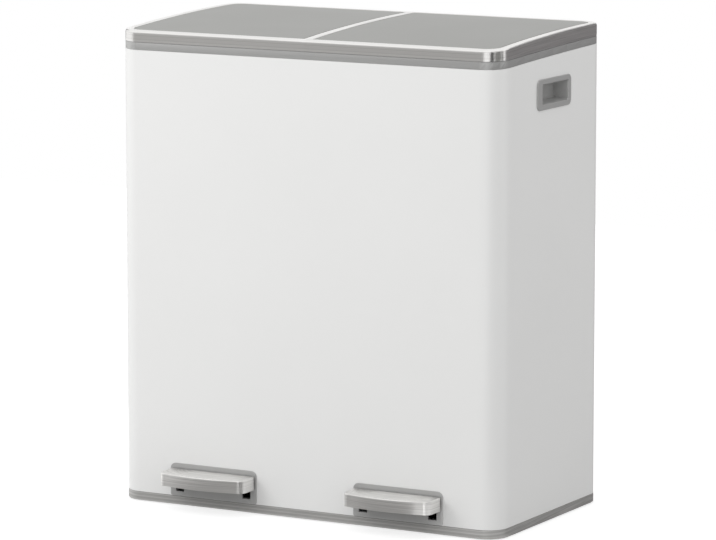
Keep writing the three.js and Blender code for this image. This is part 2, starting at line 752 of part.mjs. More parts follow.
// The moulded frame: a band above the body, a skirt inside it and a deck for the buckets.
function topFrame() {
  const skirt = SHEET + SEAT_GAP;
  const gap = SHEET + RIM_SUPPORT_GAP;
  const ledge = above(rimTop, -gap);
  const ledgeBottom = above(ledge, -RIM_SUPPORT);
  const ring = hoop([
    [0, above(bodyTop, SEAT_GAP)],
    [0, bandTop],
    [gap, bandTop],
    [gap, above(rimTop, -RIM_FILLET)],
    [RIM_FILLET, ledge],
    [RIM_WIDTH - gap, ledge],
    [RIM_WIDTH - gap, ledgeBottom],
    [skirt + WALL, ledgeBottom],
    [skirt + WALL, level(FRAME_SKIRT_BOTTOM)],
    [skirt, level(FRAME_SKIRT_BOTTOM)],
    [skirt, above(bodyTop, SEAT_GAP)],
  ]);
  const deckBottom = DECK_TOP - DECK_THICKNESS;
  const deck = plateInBody(skirt + ROOT, deckBottom, DECK_TOP);
  const lipBottom = deckBottom - DECK_LIP;
  const lips = [1, -1].map((side) =>
    bucketHole(side, DECK_LIP_THICKNESS, lipBottom, DECK_TOP - ROOT),
  );
  const holes = [1, -1].map((side) => bucketHole(side, 0, lipBottom - PAST, DECK_TOP + PAST));
  const rodHoles = [1, -1].map((side) => {
    const radius = ROD_RADIUS + SEAT_GAP;
    return barZ(radius, side * PEDAL_X, ROD_Y, deckBottom - PAST, DECK_TOP + PAST);
  });
  const web = slab(
    -WEB_THICKNESS / 2,
    WEB_THICKNESS / 2,
    FRONT + RIM_WIDTH + SEAT_GAP,
    BACK - RIM_WIDTH - SEAT_GAP,
    above(rimTop, -SHEET - SEAT_GAP),
    level(DECK_TOP - ROOT),
  );
  const solid = join(ring, deck, ...lips, web, hingePosts(1), hingePosts(-1));
  return cut(solid, ...holes, ...rodHoles);
}

// The steel hoop on top: a folded strip with a rounded outer edge and an inner lip.
function steelRim() {
  const fillet = (radius, fromDeg, toDeg, steps) =>
    arc(RIM_FILLET, -RIM_FILLET, radius, fromDeg, toDeg, steps).map(([inset, drop]) => [
      inset,
      above(rimTop, drop),
    ]);
  return hoop([
    [0, above(bandTop, SEAT_GAP)],
    ...fillet(RIM_FILLET, 180, 90, FILLET_STEPS),
    [RIM_WIDTH - RIM_INNER_BEVEL, rimTop],
    [RIM_WIDTH, above(rimTop, -RIM_INNER_BEVEL)],
    [RIM_WIDTH, above(rimTop, -RIM_LIP)],
    [RIM_WIDTH - SHEET, above(rimTop, -RIM_LIP)],
    [RIM_WIDTH - SHEET, above(rimTop, -SHEET)],
    ...fillet(RIM_FILLET - SHEET, 90, 180, 1),
    [SHEET, above(bandTop, SEAT_GAP)],
  ]);
}

// The steel bar between the lids: an inverted channel that follows the rim's curve.
function rimBar() {
  const half = BAR_WIDTH / 2;
  const y0 = FRONT + RIM_WIDTH + SEAT_GAP;
  const y1 = BACK - RIM_WIDTH - SEAT_GAP;
  const outer = slab(-half, half, y0, y1, rimTop, above(rimTop, -RIM_LIP));
  const inside = half - SHEET;
  const upper = above(rimTop, -SHEET);
  const lower = above(rimTop, -RIM_LIP - PAST);
  return cut(outer, slab(-inside, inside, y0 - PAST, y1 + PAST, upper, lower));
}

// A handle pocket: a flange outside the body and a tapered recess for the fingers.
function handlePocket() {
  const face = SIDE + SEAT_GAP + HANDLE_PROUD;
  const ring = (length, height, corner, x) =>
    roundedRectangle(-length / 2, length / 2, -height / 2, height / 2, corner).map(([y, z]) => [
      x,
      HANDLE_Y + y,
      HANDLE_Z + z,
    ]);
  const end = face - HANDLE_DEPTH;
  const flange = (inset, x) =>
    ring(HANDLE_LENGTH - 2 * inset, HANDLE_HEIGHT - 2 * inset, HANDLE_CORNER - inset, x);
  const mouth = (grow, taper, x) =>
    ring(
      HANDLE_MOUTH_LENGTH + 2 * grow - taper,
      HANDLE_MOUTH_HEIGHT + 2 * grow - taper,
      HANDLE_MOUTH_CORNER + grow / 2,
      x,
    );
  return loft([
    mouth(HANDLE_WALL, HANDLE_TAPER, end - HANDLE_WALL),
    mouth(HANDLE_WALL, 0, SIDE + SEAT_GAP),
    flange(0, SIDE + SEAT_GAP),
    flange(0, face - HANDLE_EDGE_BEVEL),
    flange(HANDLE_EDGE_BEVEL, face),
    mouth(HANDLE_MOUTH_BEVEL, 0, face),
    mouth(0, 0, face - HANDLE_MOUTH_BEVEL),
    mouth(0, HANDLE_TAPER, end),
  ]);
}

// A catch above or below a bezel's plug, which holds it behind the body's sheet.
function bezelCatch(x, z, upwards) {
  const y = FRONT + SHEET + CATCH_GAP;
  const rise = upwards ? CATCH_HEIGHT : -CATCH_HEIGHT;
  const root = upwards ? -ROOT : ROOT;
  const outline = [
    [y, z + root],
    [y + CATCH_DEPTH, z + root],
    [y + CATCH_DEPTH, z],
    [y, z + rise],
  ];
  const turned = upwards ? outline : outline.reverse();
  return prismX(turned, x - CATCH_WIDTH / 2, x + CATCH_WIDTH / 2);
}

// A slot in a bezel for one lever arm.
function bezelSlot(x, y0, y1) {
  const half = SLOT_WIDTH / 2;
  const outline = roundedRectangle(x - half, x + half, SLOT_BOTTOM, SLOT_TOP, SLOT_CORNER);
  return loft([y0, y1].map((y) => outline.map(([u, z]) => [u, y, z])));
}

// A bezel that plugs into a pedal window, with two slots for the lever arms.
function pedalBezel() {
  const half = BEZEL_WIDTH / 2;
  const back = FRONT - SEAT_GAP;
  const front = back - BEZEL_THICKNESS;
  const ring = (inset, y) => {
    const top = BEZEL_CORNER - inset;
    const bottom = BEZEL_LOWER_CORNER - inset;
    return roundedRectangle(
      PEDAL_X - half + inset,
      PEDAL_X + half - inset,
      BEZEL_BOTTOM + inset,
      BEZEL_TOP - inset,
      [bottom, top, top, bottom],
    ).map(([x, z]) => [x, y, z]);
  };
  const plate = loft([
    ring(0, back),
    ring(0, front + BEZEL_BEVEL),
    ring(BEZEL_BEVEL, front),
  ]);
  const plugBox = (inset, y0, y1) =>
    block(
      PEDAL_X - PLUG_HALF + inset,
      PEDAL_X + PLUG_HALF - inset,
      y0,
      y1,
      PLUG_BOTTOM + inset,
      PLUG_TOP - inset,
    );
  const plug = plugBox(0, back - BEZEL_BEVEL, back + PLUG_DEPTH);
  const hollow = plugBox(PLUG_WALL, back + PLUG_FACE, back + PLUG_DEPTH + PAST);
  const slots = [-1, 1].map((end) => bezelSlot(PEDAL_X + end * ARM_X, front - PAST, back + PAST));
  const catches = [-CATCH_OFFSET, CATCH_OFFSET].flatMap((offset) => [
    bezelCatch(PEDAL_X + offset, PLUG_TOP, true),
    bezelCatch(PEDAL_X + offset, PLUG_BOTTOM, false),
  ]);
  return join(cut(join(plate, plug), hollow, ...slots), ...catches);
}

// ---- Lids ---------------------------------------------------------------------------------

// A lid's plan outline: its outer corners follow the rim and its inner ones are small.
function lidOutline(inset) {
  const outer = CORNER_RADIUS - RIM_WIDTH - LID_GAP - inset;
  const inner = Math.max(LID_INNER_CORNER - inset, LID_INNER_CORNER_MIN);
  return roundedRectangle(
    LID_INNER_X + inset,
    LID_OUTER_X - inset,
    LID_FRONT + inset,
    LID_BACK - inset,
    [outer, outer, inner, inner],
  );
}

// Everything inside the lid's outline at an inset, between two surfaces.
function lidLayer(inset, upper, lower) {
  const prism = prismZ(lidOutline(inset), DECK_TOP, RIM_TOP + TOP_RISE + PAST);
  return prism.intersect(slab(0, SIDE, FRONT, BACK, upper, lower));
}

const LID_UNDER = above(rimTop, -LID_SHEET);
const LINER_TOP = above(LID_UNDER, -SEAT_GAP);
const LINER_UNDER = above(LINER_TOP, -LINER_SHEET);
const LINER_ROOT = above(LINER_TOP, -LINER_SHEET / 2);
const LINER_SKIRT_BOTTOM = above(rimTop, -LINER_SKIRT);
const BELOW_LINER = above(LINER_SKIRT_BOTTOM, -PAST);

// The lid's outer panel, with a short folded edge.
function lidPanel() {
  const outer = lidLayer(0, rimTop, above(rimTop, -LID_SKIRT));
  return cut(outer, lidLayer(LID_SHEET, LID_UNDER, above(rimTop, -LID_SKIRT - PAST)));
}

// A lug or a cheek under the liner: it grows out of the sheet and ends in a round boss.
function linerEar(x, thickness, boss, front, back) {
  const outline = [
    [boss.y - front, LINER_ROOT(boss.y - front)],
    ...arc(boss.y, boss.z, boss.radius, 180, boss.endDeg, BOSS_STEPS),
    [boss.y + back, LINER_ROOT(boss.y + back)],
  ];
  return prismX(outline, x - thickness / 2, x + thickness / 2);
}

// A hinge lug under the liner, beside a post.
function hingeLug(end) {
  const fromPost = (HINGE_POST_THICKNESS + HINGE_LUG_THICKNESS) / 2 + HINGE_LUG_GAP;
  const boss = { y: HINGE_Y, z: HINGE_Z, radius: HINGE_BOSS_RADIUS, endDeg: 360 };
  const x = LID_X + end * (HINGE_POST_OFFSET - fromPost);
  return linerEar(x, HINGE_LUG_THICKNESS, boss, LUG_FRONT, LUG_BACK);
}

const CHEEK_INNER = YOKE_WIDTH / 2 + CRANK_CHEEK_GAP;
const CHEEK_OUTER = CHEEK_INNER + CRANK_CHEEK_THICKNESS;

// One of the two cheeks that hold the crank pin.
function crankCheek(end) {
  const boss = { y: CRANK_Y, z: CRANK_Z, radius: CRANK_CHEEK_RADIUS, endDeg: 345 };
  const x = PEDAL_X + (end * (CHEEK_INNER + CHEEK_OUTER)) / 2;
  return linerEar(x, CRANK_CHEEK_THICKNESS, boss, CHEEK_FRONT, CHEEK_BACK);
}

// The ribs under the liner's sheet: two along Y, then two across.
function linerRibs() {
  const half = LINER_RIB / 2;
  const bottom = above(rimTop, -LINER_RIB_HEIGHT);
  const y0 = LID_FRONT + LINER_RIB_END;
  const y1 = HINGE_Y - LUG_FRONT - LINER_RIB_END;
  const alongY = [-1, 1].map((end) => {
    const x = LID_X + (end * HINGE_POST_OFFSET) / 2;
    return slab(x - half, x + half, y0, y1, LINER_ROOT, bottom);
  });
  const acrossY = [1, 2].map((third) => {
    const y = LID_FRONT + ((y1 - LID_FRONT) * third) / 3;
    const x0 = LID_INNER_X + LINER_RIB_END;
    const x1 = LID_OUTER_X - LINER_RIB_END;
    return slab(x0, x1, y - half, y + half, LINER_ROOT, bottom, 1);
  });
  return join(...alongY, ...acrossY);
}

// The liner's skirt. Behind the hinge it stops short of the posts, which it would meet on
// opening.
function linerSkirt(inset) {
  const ring = cut(
    lidLayer(inset, LINER_TOP, LINER_SKIRT_BOTTOM),
    lidLayer(inset + LID_SHEET, LINER_UNDER, BELOW_LINER),
  );
  const half = HINGE_POST_THICKNESS / 2 + HINGE_LUG_GAP;
  const postZones = [-1, 1].map((end) => {
    const x = LID_X + end * HINGE_POST_OFFSET;
    return slab(x - half, x + half, HINGE_Y, BACK, LINER_UNDER, BELOW_LINER);
  });
  return cut(ring, ...postZones);
}

// The moulded liner under the panel, with its ribs, hinge lugs and crank cheeks.
function lidLiner() {
  const inset = LID_SHEET + SEAT_GAP;
  const solid = join(
    lidLayer(inset, LINER_TOP, LINER_UNDER),
    linerSkirt(inset),
    linerRibs(),
    hingeLug(-1),
    hingeLug(1),
    crankCheek(-1),
    crankCheek(1),
  );
  const half = HINGE_POST_THICKNESS / 2 + HINGE_LUG_GAP;
  const postClearance = [-1, 1].map((end) => {
    const x = LID_X + end * HINGE_POST_OFFSET;
    return barX(HINGE_BOSS_RADIUS + POST_PLAY, x - half, x + half, HINGE_Y, HINGE_Z);
  });
  const reach = HINGE_POST_OFFSET + HINGE_POST_THICKNESS;
  const pinReach = CHEEK_OUTER + PAST;
  return cut(
    solid,
    ...postClearance,
    barX(HINGE_ROD_RADIUS + BORE_PLAY, LID_X - reach, LID_X + reach, HINGE_Y, HINGE_Z),
    barX(CRANK_PIN_RADIUS + BORE_PLAY, PEDAL_X - pinReach, PEDAL_X + pinReach, CRANK_Y, CRANK_Z),
  );
}

// The rod that a lid turns on, held in the frame's posts.
function hingeRod() {
  const half = HINGE_POST_OFFSET + HINGE_POST_THICKNESS / 2 + HINGE_ROD_END;
  return barX(HINGE_ROD_RADIUS, LID_X - half, LID_X + half, HINGE_Y, HINGE_Z);
}

// The pin between the crank cheeks.
function crankPin() {
  return barX(CRANK_PIN_RADIUS, PEDAL_X - CHEEK_OUTER, PEDAL_X + CHEEK_OUTER, CRANK_Y, CRANK_Z);
}

// ---- Push rod -----------------------------------------------------------------------------

// The rod that carries the pedal's movement to the lid, with a foot for the lever's tip.
function pushRod() {
  return join(
    barZ(ROD_RADIUS, PEDAL_X, ROD_Y, ROD_BOTTOM + ROOT, CRANK_Z),
    barZ(ROD_FOOT_RADIUS, PEDAL_X, ROD_Y, ROD_BOTTOM, ROD_BOTTOM + ROD_FOOT_THICKNESS),
  );
}

// The slotted head that the crank pin slides in as the lid turns.
function rodYoke() {
  const half = YOKE_WIDTH / 2;
  const bottom = CRANK_Z - YOKE_SLOT - YOKE_WALL;
  const top = CRANK_Z + YOKE_SLOT + YOKE_WALL;
  const back = ROD_Y + ROD_RADIUS + YOKE_WALL;
  const head = prismX(
    roundedRectangle(YOKE_FRONT, back, bottom, top, YOKE_WALL),
    PEDAL_X - half,
    PEDAL_X + half,
  );
  const slot = [
    ...arc(CRANK_Y, CRANK_Z, YOKE_SLOT, -90, 90, YOKE_SLOT_STEPS),
    ...arc(HINGE_Y - CRANK_RADIUS, CRANK_Z, YOKE_SLOT, 90, 270, YOKE_SLOT_STEPS),
  ];
  const socket = barZ(ROD_RADIUS + SEAT_GAP, PEDAL_X, ROD_Y, bottom - PAST, CRANK_Z + SEAT_GAP);
  return cut(head, prismX(slot, PEDAL_X - half - PAST, PEDAL_X + half + PAST), socket);
}

// A bracket on the back wall that keeps the rod upright.
function rodGuide() {
  const z = GUIDE_Z;
  const wallFace = BACK - SHEET - SEAT_GAP;
  const plateFront = wallFace - GUIDE_THICKNESS;
  const plate = block(
    PEDAL_X - GUIDE_PLATE_WIDTH / 2,
    PEDAL_X + GUIDE_PLATE_WIDTH / 2,
    plateFront,
    wallFace,
    z - GUIDE_PLATE_HEIGHT / 2,
    z + GUIDE_PLATE_HEIGHT / 2,
  );
  const arm = prismZ(
    [
      [PEDAL_X - GUIDE_ARM_WIDTH / 2, ROD_Y],
      [PEDAL_X + GUIDE_ARM_WIDTH / 2, ROD_Y],
      [PEDAL_X + GUIDE_ARM_ROOT / 2, plateFront + ROOT],
      [PEDAL_X - GUIDE_ARM_ROOT / 2, plateFront + ROOT],
    ],
    z - GUIDE_ARM_THICKNESS / 2,
    z + GUIDE_ARM_THICKNESS / 2,
  );
  const collarRadius = ROD_RADIUS + GUIDE_COLLAR_WALL;
  const gusset = prismX(
    [
      [plateFront + ROOT, z - GUIDE_GUSSET_HEIGHT],
      [plateFront + ROOT, z],
      [ROD_Y + collarRadius - ROOT, z],
    ],
    PEDAL_X - GUIDE_THICKNESS / 2,
    PEDAL_X + GUIDE_THICKNESS / 2,
  );
  const collarHalf = GUIDE_COLLAR_HEIGHT / 2;
  const collar = barZ(collarRadius, PEDAL_X, ROD_Y, z - collarHalf, z + collarHalf);
  const reach = collarHalf + PAST;
  const bore = barZ(ROD_RADIUS + BORE_PLAY, PEDAL_X, ROD_Y, z - reach, z + reach);
  return cut(join(plate, arm, gusset, collar), bore);
}

// ---- Pedals -------------------------------------------------------------------------------

// A pedal's plan outline: straight back, bowed front, rounded front corners.
function pedalOutline(inset, backInset = inset) {
  const half = PEDAL_WIDTH / 2 - inset;
  const back = PEDAL_BACK - backInset;
  const corner = PEDAL_CORNER - inset;
  const shoulder = PEDAL_FRONT + inset + PEDAL_BOW;
  const bowHalf = half - corner;
  const cornerY = shoulder + corner;
  const [from, to] = [270 - PEDAL_BOW_DEG, 270 + PEDAL_BOW_DEG];
  const bow = Array.from({ length: PEDAL_BOW_STEPS - 1 }, (_, i) => {
    const t = (2 * (i + 1)) / PEDAL_BOW_STEPS - 1;
    return [t * bowHalf, shoulder - PEDAL_BOW * (1 - t * t)];
  });
  const points = [
    [half, back],
    [-half, back],
    ...arc(-bowHalf, cornerY, corner, 180, from, PEDAL_CORNER_STEPS),
    ...bow,
    ...arc(bowHalf, cornerY, corner, to, 360, PEDAL_CORNER_STEPS),
  ];
  return points.map(([x, y]) => [PEDAL_X + x, y]);
}

// The stainless cap of a pedal, folded over its front and sides.
function pedalCap() {
  const ring = (inset, z) => pedalOutline(inset).map(([x, y]) => [x, y, z]);
  const diagonal = PEDAL_FILLET * (1 - Math.SQRT1_2);
  const outer = loft([
    ring(0, PEDAL_BOTTOM),
    ring(0, PEDAL_TOP - PEDAL_FILLET),
    ring(diagonal, PEDAL_TOP - diagonal),
    ring(PEDAL_FILLET, PEDAL_TOP),
  ]);
  const outline = pedalOutline(PEDAL_SHEET, -PAST);
  return cut(outer, prismZ(outline, PEDAL_BOTTOM - PAST, PEDAL_TOP - PEDAL_SHEET));
}

// Where the lever's front runs inside the pedal, grown by a margin.
function leverFront(margin, bottom) {
  const barBack = PEDAL_BACK - BAR_SETBACK + margin;
  const barFront = PEDAL_BACK - BAR_SETBACK - BAR_DEPTH - margin;
  const armsBack = PEDAL_BACK + ROOT + margin;
  const z1 = ARM_TOP + margin;
  const half = ARM_THICKNESS / 2 + margin;
  const bar = block(
    PEDAL_X - ARM_X - half,
    PEDAL_X + ARM_X + half,
    barFront,
    barBack,
    bottom,
    z1,
  );
  const arms = [-1, 1].map((end) => {
    const x = PEDAL_X + end * ARM_X;
    return block(x - half, x + half, barFront, armsBack, bottom, z1);
  });
  return join(bar, ...arms);
}

// The moulded core of a pedal, hollowed from below, that the lever is held in.
function pedalCore() {
  const inset = PEDAL_SHEET + SEAT_GAP;
  const top = PEDAL_TOP - inset;
  const core = prismZ(pedalOutline(inset), PEDAL_BOTTOM + CORE_RECESS, top);
  const pitch = (2 * ARM_X - CORE_POCKET_WALL - ARM_THICKNESS) / CORE_POCKETS;
  const half = (pitch - CORE_POCKET_WALL) / 2;
  const back = PEDAL_BACK - CORE_POCKET_REAR;
  const pockets = Array.from({ length: CORE_POCKETS }, (_, i) => {
    const x = PEDAL_X + (i - (CORE_POCKETS - 1) / 2) * pitch;
    const front = back - CORE_POCKET_DEPTH;
    return block(x - half, x + half, front, back, PEDAL_BOTTOM - PAST, top - CORE_ROOF);
  });
  return cut(core, leverFront(SEAT_GAP, PEDAL_BOTTOM - PAST), ...pockets);
}

// The long arm of the lever, from the axle to the roller under the push rod.
function longArm() {
  const root = PIVOT_Y + LEVER_BOSS_RADIUS;
  const bend = ROD_Y - TIP_LENGTH;
  const outline = [
    [root, PIVOT_Z - LONG_ARM_BELOW],
    [bend, LEVER_TIP_Z - LEVER_TIP_RADIUS],
    [ROD_Y, LEVER_TIP_Z - TIP_BELOW],
    [ROD_Y, LEVER_TIP_Z + TIP_ABOVE],
    [bend, LEVER_TIP_Z + TIP_ABOVE],
    [root, PIVOT_Z + LONG_ARM_ABOVE],
  ];
  const half = LEVER_TIP_WIDTH / 2;
  const roller = barX(LEVER_TIP_RADIUS, PEDAL_X - half, PEDAL_X + half, ROD_Y, LEVER_TIP_Z);
  const x0 = PEDAL_X - LONG_ARM_WIDTH / 2;
  return join(prismX(outline, x0, x0 + LONG_ARM_WIDTH), roller);
}

// The steel lever of a pedal: two arms that pass through the bezel, turning on the axle,
// and one long arm to the foot of the push rod.
function pedalLever() {
  const armOutline = [
    ...arc(PIVOT_Y, PIVOT_Z, LEVER_BOSS_RADIUS, 250, 430, BOSS_STEPS),
    [PIVOT_Y - ARM_SLOPE_TOP, ARM_TOP],
    [PEDAL_BACK - BAR_SETBACK, ARM_TOP],
    [PEDAL_BACK - BAR_SETBACK, ARM_BOTTOM],
    [PIVOT_Y - ARM_SLOPE_BOTTOM, ARM_BOTTOM],
  ];
  const half = ARM_THICKNESS / 2;
  const bossHalf = LEVER_BOSS_WIDTH / 2;
  const arms = [-1, 1].map((end) => {
    const x = PEDAL_X + end * ARM_X;
    const boss = barX(LEVER_BOSS_RADIUS, x - bossHalf, x + bossHalf, PIVOT_Y, PIVOT_Z);
    return join(prismX(armOutline, x - half, x + half), boss);
  });
  const crossFront = PIVOT_Y + LEVER_BOSS_RADIUS - CROSS_OVERLAP;
  const cross = block(
    PEDAL_X - ARM_X - half,
    PEDAL_X + ARM_X + half,
    crossFront,
    crossFront + CROSS_DEPTH,
    PIVOT_Z - LONG_ARM_BELOW,
    PIVOT_Z + LONG_ARM_ABOVE,
  );
  const reach = ARM_X + LEVER_BOSS_WIDTH;
  const bore = barX(AXLE_RADIUS + BORE_PLAY, PEDAL_X - reach, PEDAL_X + reach, PIVOT_Y, PIVOT_Z);
  return cut(join(leverFront(0, ARM_BOTTOM), ...arms, cross, longArm()), bore);
}

// The axle that a pedal lever turns on, with a head at each end.
function pedalAxle() {
  const inner = SADDLE_OUTER + SEAT_GAP;
  const outer = inner + AXLE_HEAD_THICKNESS;
  const radius = AXLE_RADIUS + AXLE_HEAD;
  return join(
    barX(AXLE_RADIUS, PEDAL_X - inner - ROOT, PEDAL_X + inner + ROOT, PIVOT_Y, PIVOT_Z),
    barX(radius, PEDAL_X - outer, PEDAL_X - inner, PIVOT_Y, PIVOT_Z),
    barX(radius, PEDAL_X + inner, PEDAL_X + outer, PIVOT_Y, PIVOT_Z),
  );
}

// ---- Buckets ------------------------------------------------------------------------------

// A lift-out bucket that hangs by its flange on the deck.
function bucket() {
  const ring = (grow, z, corner) =>
    roundedRectangle(
      BUCKET_X - BUCKET_HALF_WIDTH - grow,
      BUCKET_X + BUCKET_HALF_WIDTH + grow,
      BUCKET_FRONT - grow,
      BUCKET_BACK + grow,
      corner,
    ).map(([x, y]) => [x, y, z]);
  const round = BUCKET_BASE_ROUND;
  const bevel = 0.3 * round;
  const innerCorner = BUCKET_CORNER - BUCKET_WALL;
  const innerFoot = -BUCKET_TAPER - BUCKET_WALL;
  const flangeCorner = BUCKET_CORNER + BUCKET_FLANGE - 1;
  const flangeBottom = DECK_TOP + SEAT_GAP;
  const solid = loft([
    ring(-BUCKET_TAPER - round, BUCKET_BOTTOM, BUCKET_CORNER - round + 1),
    ring(-BUCKET_TAPER - bevel, BUCKET_BOTTOM + bevel, BUCKET_CORNER - 1),
    ring(-BUCKET_TAPER, BUCKET_BOTTOM + round, BUCKET_CORNER),
    ring(0, flangeBottom, BUCKET_CORNER),
    ring(BUCKET_FLANGE, flangeBottom, flangeCorner),
    ring(BUCKET_FLANGE, FLANGE_TOP - 1, flangeCorner),
    ring(BUCKET_FLANGE - 1, FLANGE_TOP, flangeCorner - 1),
    ring(-BUCKET_WALL, FLANGE_TOP, innerCorner),
    ring(innerFoot, BUCKET_BOTTOM + BUCKET_BASE + round - 1, innerCorner),
    ring(innerFoot - round + 1, BUCKET_BOTTOM + BUCKET_BASE, innerCorner - round + 2),
  ]);
  const holeRadius = BAIL_RADIUS + BAIL_HOLE_PLAY;
  const bailHoles = [-1, 1].map((end) => {
    const x = BUCKET_X + end * BAIL_HALF_WIDTH;
    return barZ(holeRadius, x, BAIL_PIVOT_Y, FLANGE_TOP - PAST, FLANGE_TOP + PAST, STEM_STEPS);
  });
  return cut(solid, ...bailHoles);
}

// The wire bail of a bucket, lying on the front half of its flange.
function bucketBail() {
  const half = BAIL_HALF_WIDTH;
  const front = BUCKET_FRONT - BUCKET_FLANGE / 2 + BAIL_INSET;
  const back = BAIL_PIVOT_Y;
  const z = FLANGE_TOP + BAIL_RADIUS + SEAT_GAP;
  const hookPoints = arc(back - BAIL_HOOK, z - BAIL_HOOK, BAIL_HOOK, 0, 90, 4);
  const bendPoints = arc(-half + BAIL_BEND, front + BAIL_BEND, BAIL_BEND, 180, 270, 5);
  const leftHalf = [
    [-half, back, FLANGE_TOP - BAIL_END],
    ...hookPoints.map(([y, height]) => [-half, y, height]),
    ...bendPoints.map(([x, y]) => [x, y, z]),
  ];
  const rightHalf = leftHalf.map(([x, y, height]) => [-x, y, height]).reverse();
  return wire([...leftHalf, ...rightHalf], BAIL_RADIUS, BAIL_SIDES).translate([BUCKET_X, 0, 0]);
}

// ---- Materials ----------------------------------------------------------------------------

function paint(color, roughness, metalness) {
  return new THREE.MeshStandardMaterial({ color, roughness, metalness });
}

const WHITE_STEEL = paint(0xe9e9e8, 0.42, 0.0);
const GREY_PLASTIC = paint(0xa3a3a1, 0.5, 0.0);
const DARK_PLASTIC = paint(0x4a4a4a, 0.6, 0.0);
const BRUSHED_STEEL = paint(0xb4b2b1, 0.3, 1.0);
const LID_GREY = paint(0xababa9, 0.5, 0.0);
const LEVER_STEEL = paint(0x7c7c7c, 0.45, 1.0);
const BLACK_RUBBER = paint(0x2b2b2b, 0.9, 0.0);

// ---- Assembly -----------------------------------------------------------------------------

function mesh(name, solid, material) {
  const made = new THREE.Mesh(geometryFromSolid(solid), material);
  made.name = name;
  return made;
}

// One compartment's pieces, modelled on the right.
function compartmentPieces() {
  return [
    ["handle_pocket", handlePocket(), GREY_PLASTIC],
    ["pedal_bezel", pedalBezel(), GREY_PLASTIC],
    ["lid_panel", lidPanel(), LID_GREY],
    ["lid_liner", lidLiner(), DARK_PLASTIC],
    ["hinge_rod", hingeRod(), LEVER_STEEL],
    ["crank_pin", crankPin(), LEVER_STEEL],
    ["push_rod", pushRod(), LEVER_STEEL],
    ["rod_yoke", rodYoke(), DARK_PLASTIC],
    ["rod_guide", rodGuide(), DARK_PLASTIC],
    ["pedal_cap", pedalCap(), BRUSHED_STEEL],
    ["pedal_core", pedalCore(), DARK_PLASTIC],
    ["pedal_lever", pedalLever(), LEVER_STEEL],
    ["pedal_axle", pedalAxle(), LEVER_STEEL],
    ["bucket", bucket(), DARK_PLASTIC],
    ["bucket_bail", bucketBail(), LEVER_STEEL],
  ];
}

const bin = new THREE.Group();
bin.name = "double_recycling_bin";
// Centred between the pedals' front and the body's back.
bin.position.y = (PEDAL_REACH - TRIM_PROUD) / 2;

bin.add(mesh("body_shell", bodyShell(), WHITE_STEEL));
bin.add(mesh("base_tray", baseTray(), GREY_PLASTIC));
bin.add(mesh("top_frame", topFrame(), GREY_PLASTIC));
bin.add(mesh("steel_rim", steelRim(), BRUSHED_STEEL));
bin.add(mesh("rim_bar", rimBar(), BRUSHED_STEEL));

for (const [place, [x, y]] of Object.entries(PAD_PLACES)) {
  const pad = mesh(`foot_pad_${place}`, footPad(), BLACK_RUBBER);
  pad.position.set(x, y, 0);
  bin.add(pad);
}

for (const [sideName, mirror] of [
  ["right", 1],
  ["left", -1],
]) {
  const compartment = new THREE.Group();
  compartment.name = `compartment_${sideName}`;
  compartment.scale.x = mirror;
  for (const [name, solid, material] of compartmentPieces()) {
    compartment.add(mesh(`${name}_${sideName}`, solid, material));
  }
  bin.add(compartment);
}

export default bin;
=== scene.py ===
"""The looks of a double recycling bin: a white steel cabinet with two lids and two pedals.

Lengths are in metres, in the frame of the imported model: +Z is up and the pedals face -Y.
"""

import logging
import math
from contextlib import contextmanager
from dataclasses import dataclass, field
from enum import Enum, IntEnum
from typing import Any, Callable, Iterable, Iterator

import bpy
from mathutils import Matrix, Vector


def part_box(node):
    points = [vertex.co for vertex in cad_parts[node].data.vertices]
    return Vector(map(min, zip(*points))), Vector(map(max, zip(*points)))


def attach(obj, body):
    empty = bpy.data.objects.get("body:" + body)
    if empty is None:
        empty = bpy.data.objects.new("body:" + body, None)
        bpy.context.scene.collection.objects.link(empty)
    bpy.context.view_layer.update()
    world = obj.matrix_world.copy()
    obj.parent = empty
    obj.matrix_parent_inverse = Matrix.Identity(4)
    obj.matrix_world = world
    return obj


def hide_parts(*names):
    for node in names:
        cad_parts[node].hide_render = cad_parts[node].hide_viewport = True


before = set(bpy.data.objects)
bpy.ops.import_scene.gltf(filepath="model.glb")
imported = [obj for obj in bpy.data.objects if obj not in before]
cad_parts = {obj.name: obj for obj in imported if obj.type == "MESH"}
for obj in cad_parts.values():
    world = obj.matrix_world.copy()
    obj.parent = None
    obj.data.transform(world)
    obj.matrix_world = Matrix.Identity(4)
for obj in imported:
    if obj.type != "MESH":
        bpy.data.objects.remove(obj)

MM = 0.001
LOG = logging.getLogger("recycling_bin")

# Two points nearer than this share a coordinate.
NEAR = 0.02 * MM
# A point nearer than this to a rounded line lies on it.
CLOSE = 4 * NEAR
# Two points of a casting nearer than this become one.
WELD = NEAR / 4
# A face looks along an axis when its normal's share of that axis is more than this.
FACING = 0.5
# An edge stays sharp when it turns by more degrees than this.
SHARP_TURN = 32.0
# The same on the handles and the pedal caps, whose roundings have coarser steps.
ROUND_TURN = 40.0
WHITE = "#FFFFFF"

Piece = bpy.types.Object
Material = bpy.types.Material
Node = bpy.types.Node
Socket = bpy.types.NodeSocket
Tree = bpy.types.NodeTree
# A rule chooses among a mesh's elements, and a test looks at one point.
Rule = Callable[..., bool]
Test = Callable[[Vector], bool]


class Axis(IntEnum):
    """An axis of the frame, as an index into a vector."""

    X = 0
    Y = 1
    Z = 2


class Side(Enum):
    """One of the bin's two compartments, and the sign of its X."""

    RIGHT = 1
    LEFT = -1

    @property
    def word(self) -> str:
        """The side's name as it ends a node's name."""
        return self.name.lower()


class Part(Enum):
    """The kind of mesh element that a rule chooses."""

    VERTEX = 0
    EDGE = 1
    FACE = 2


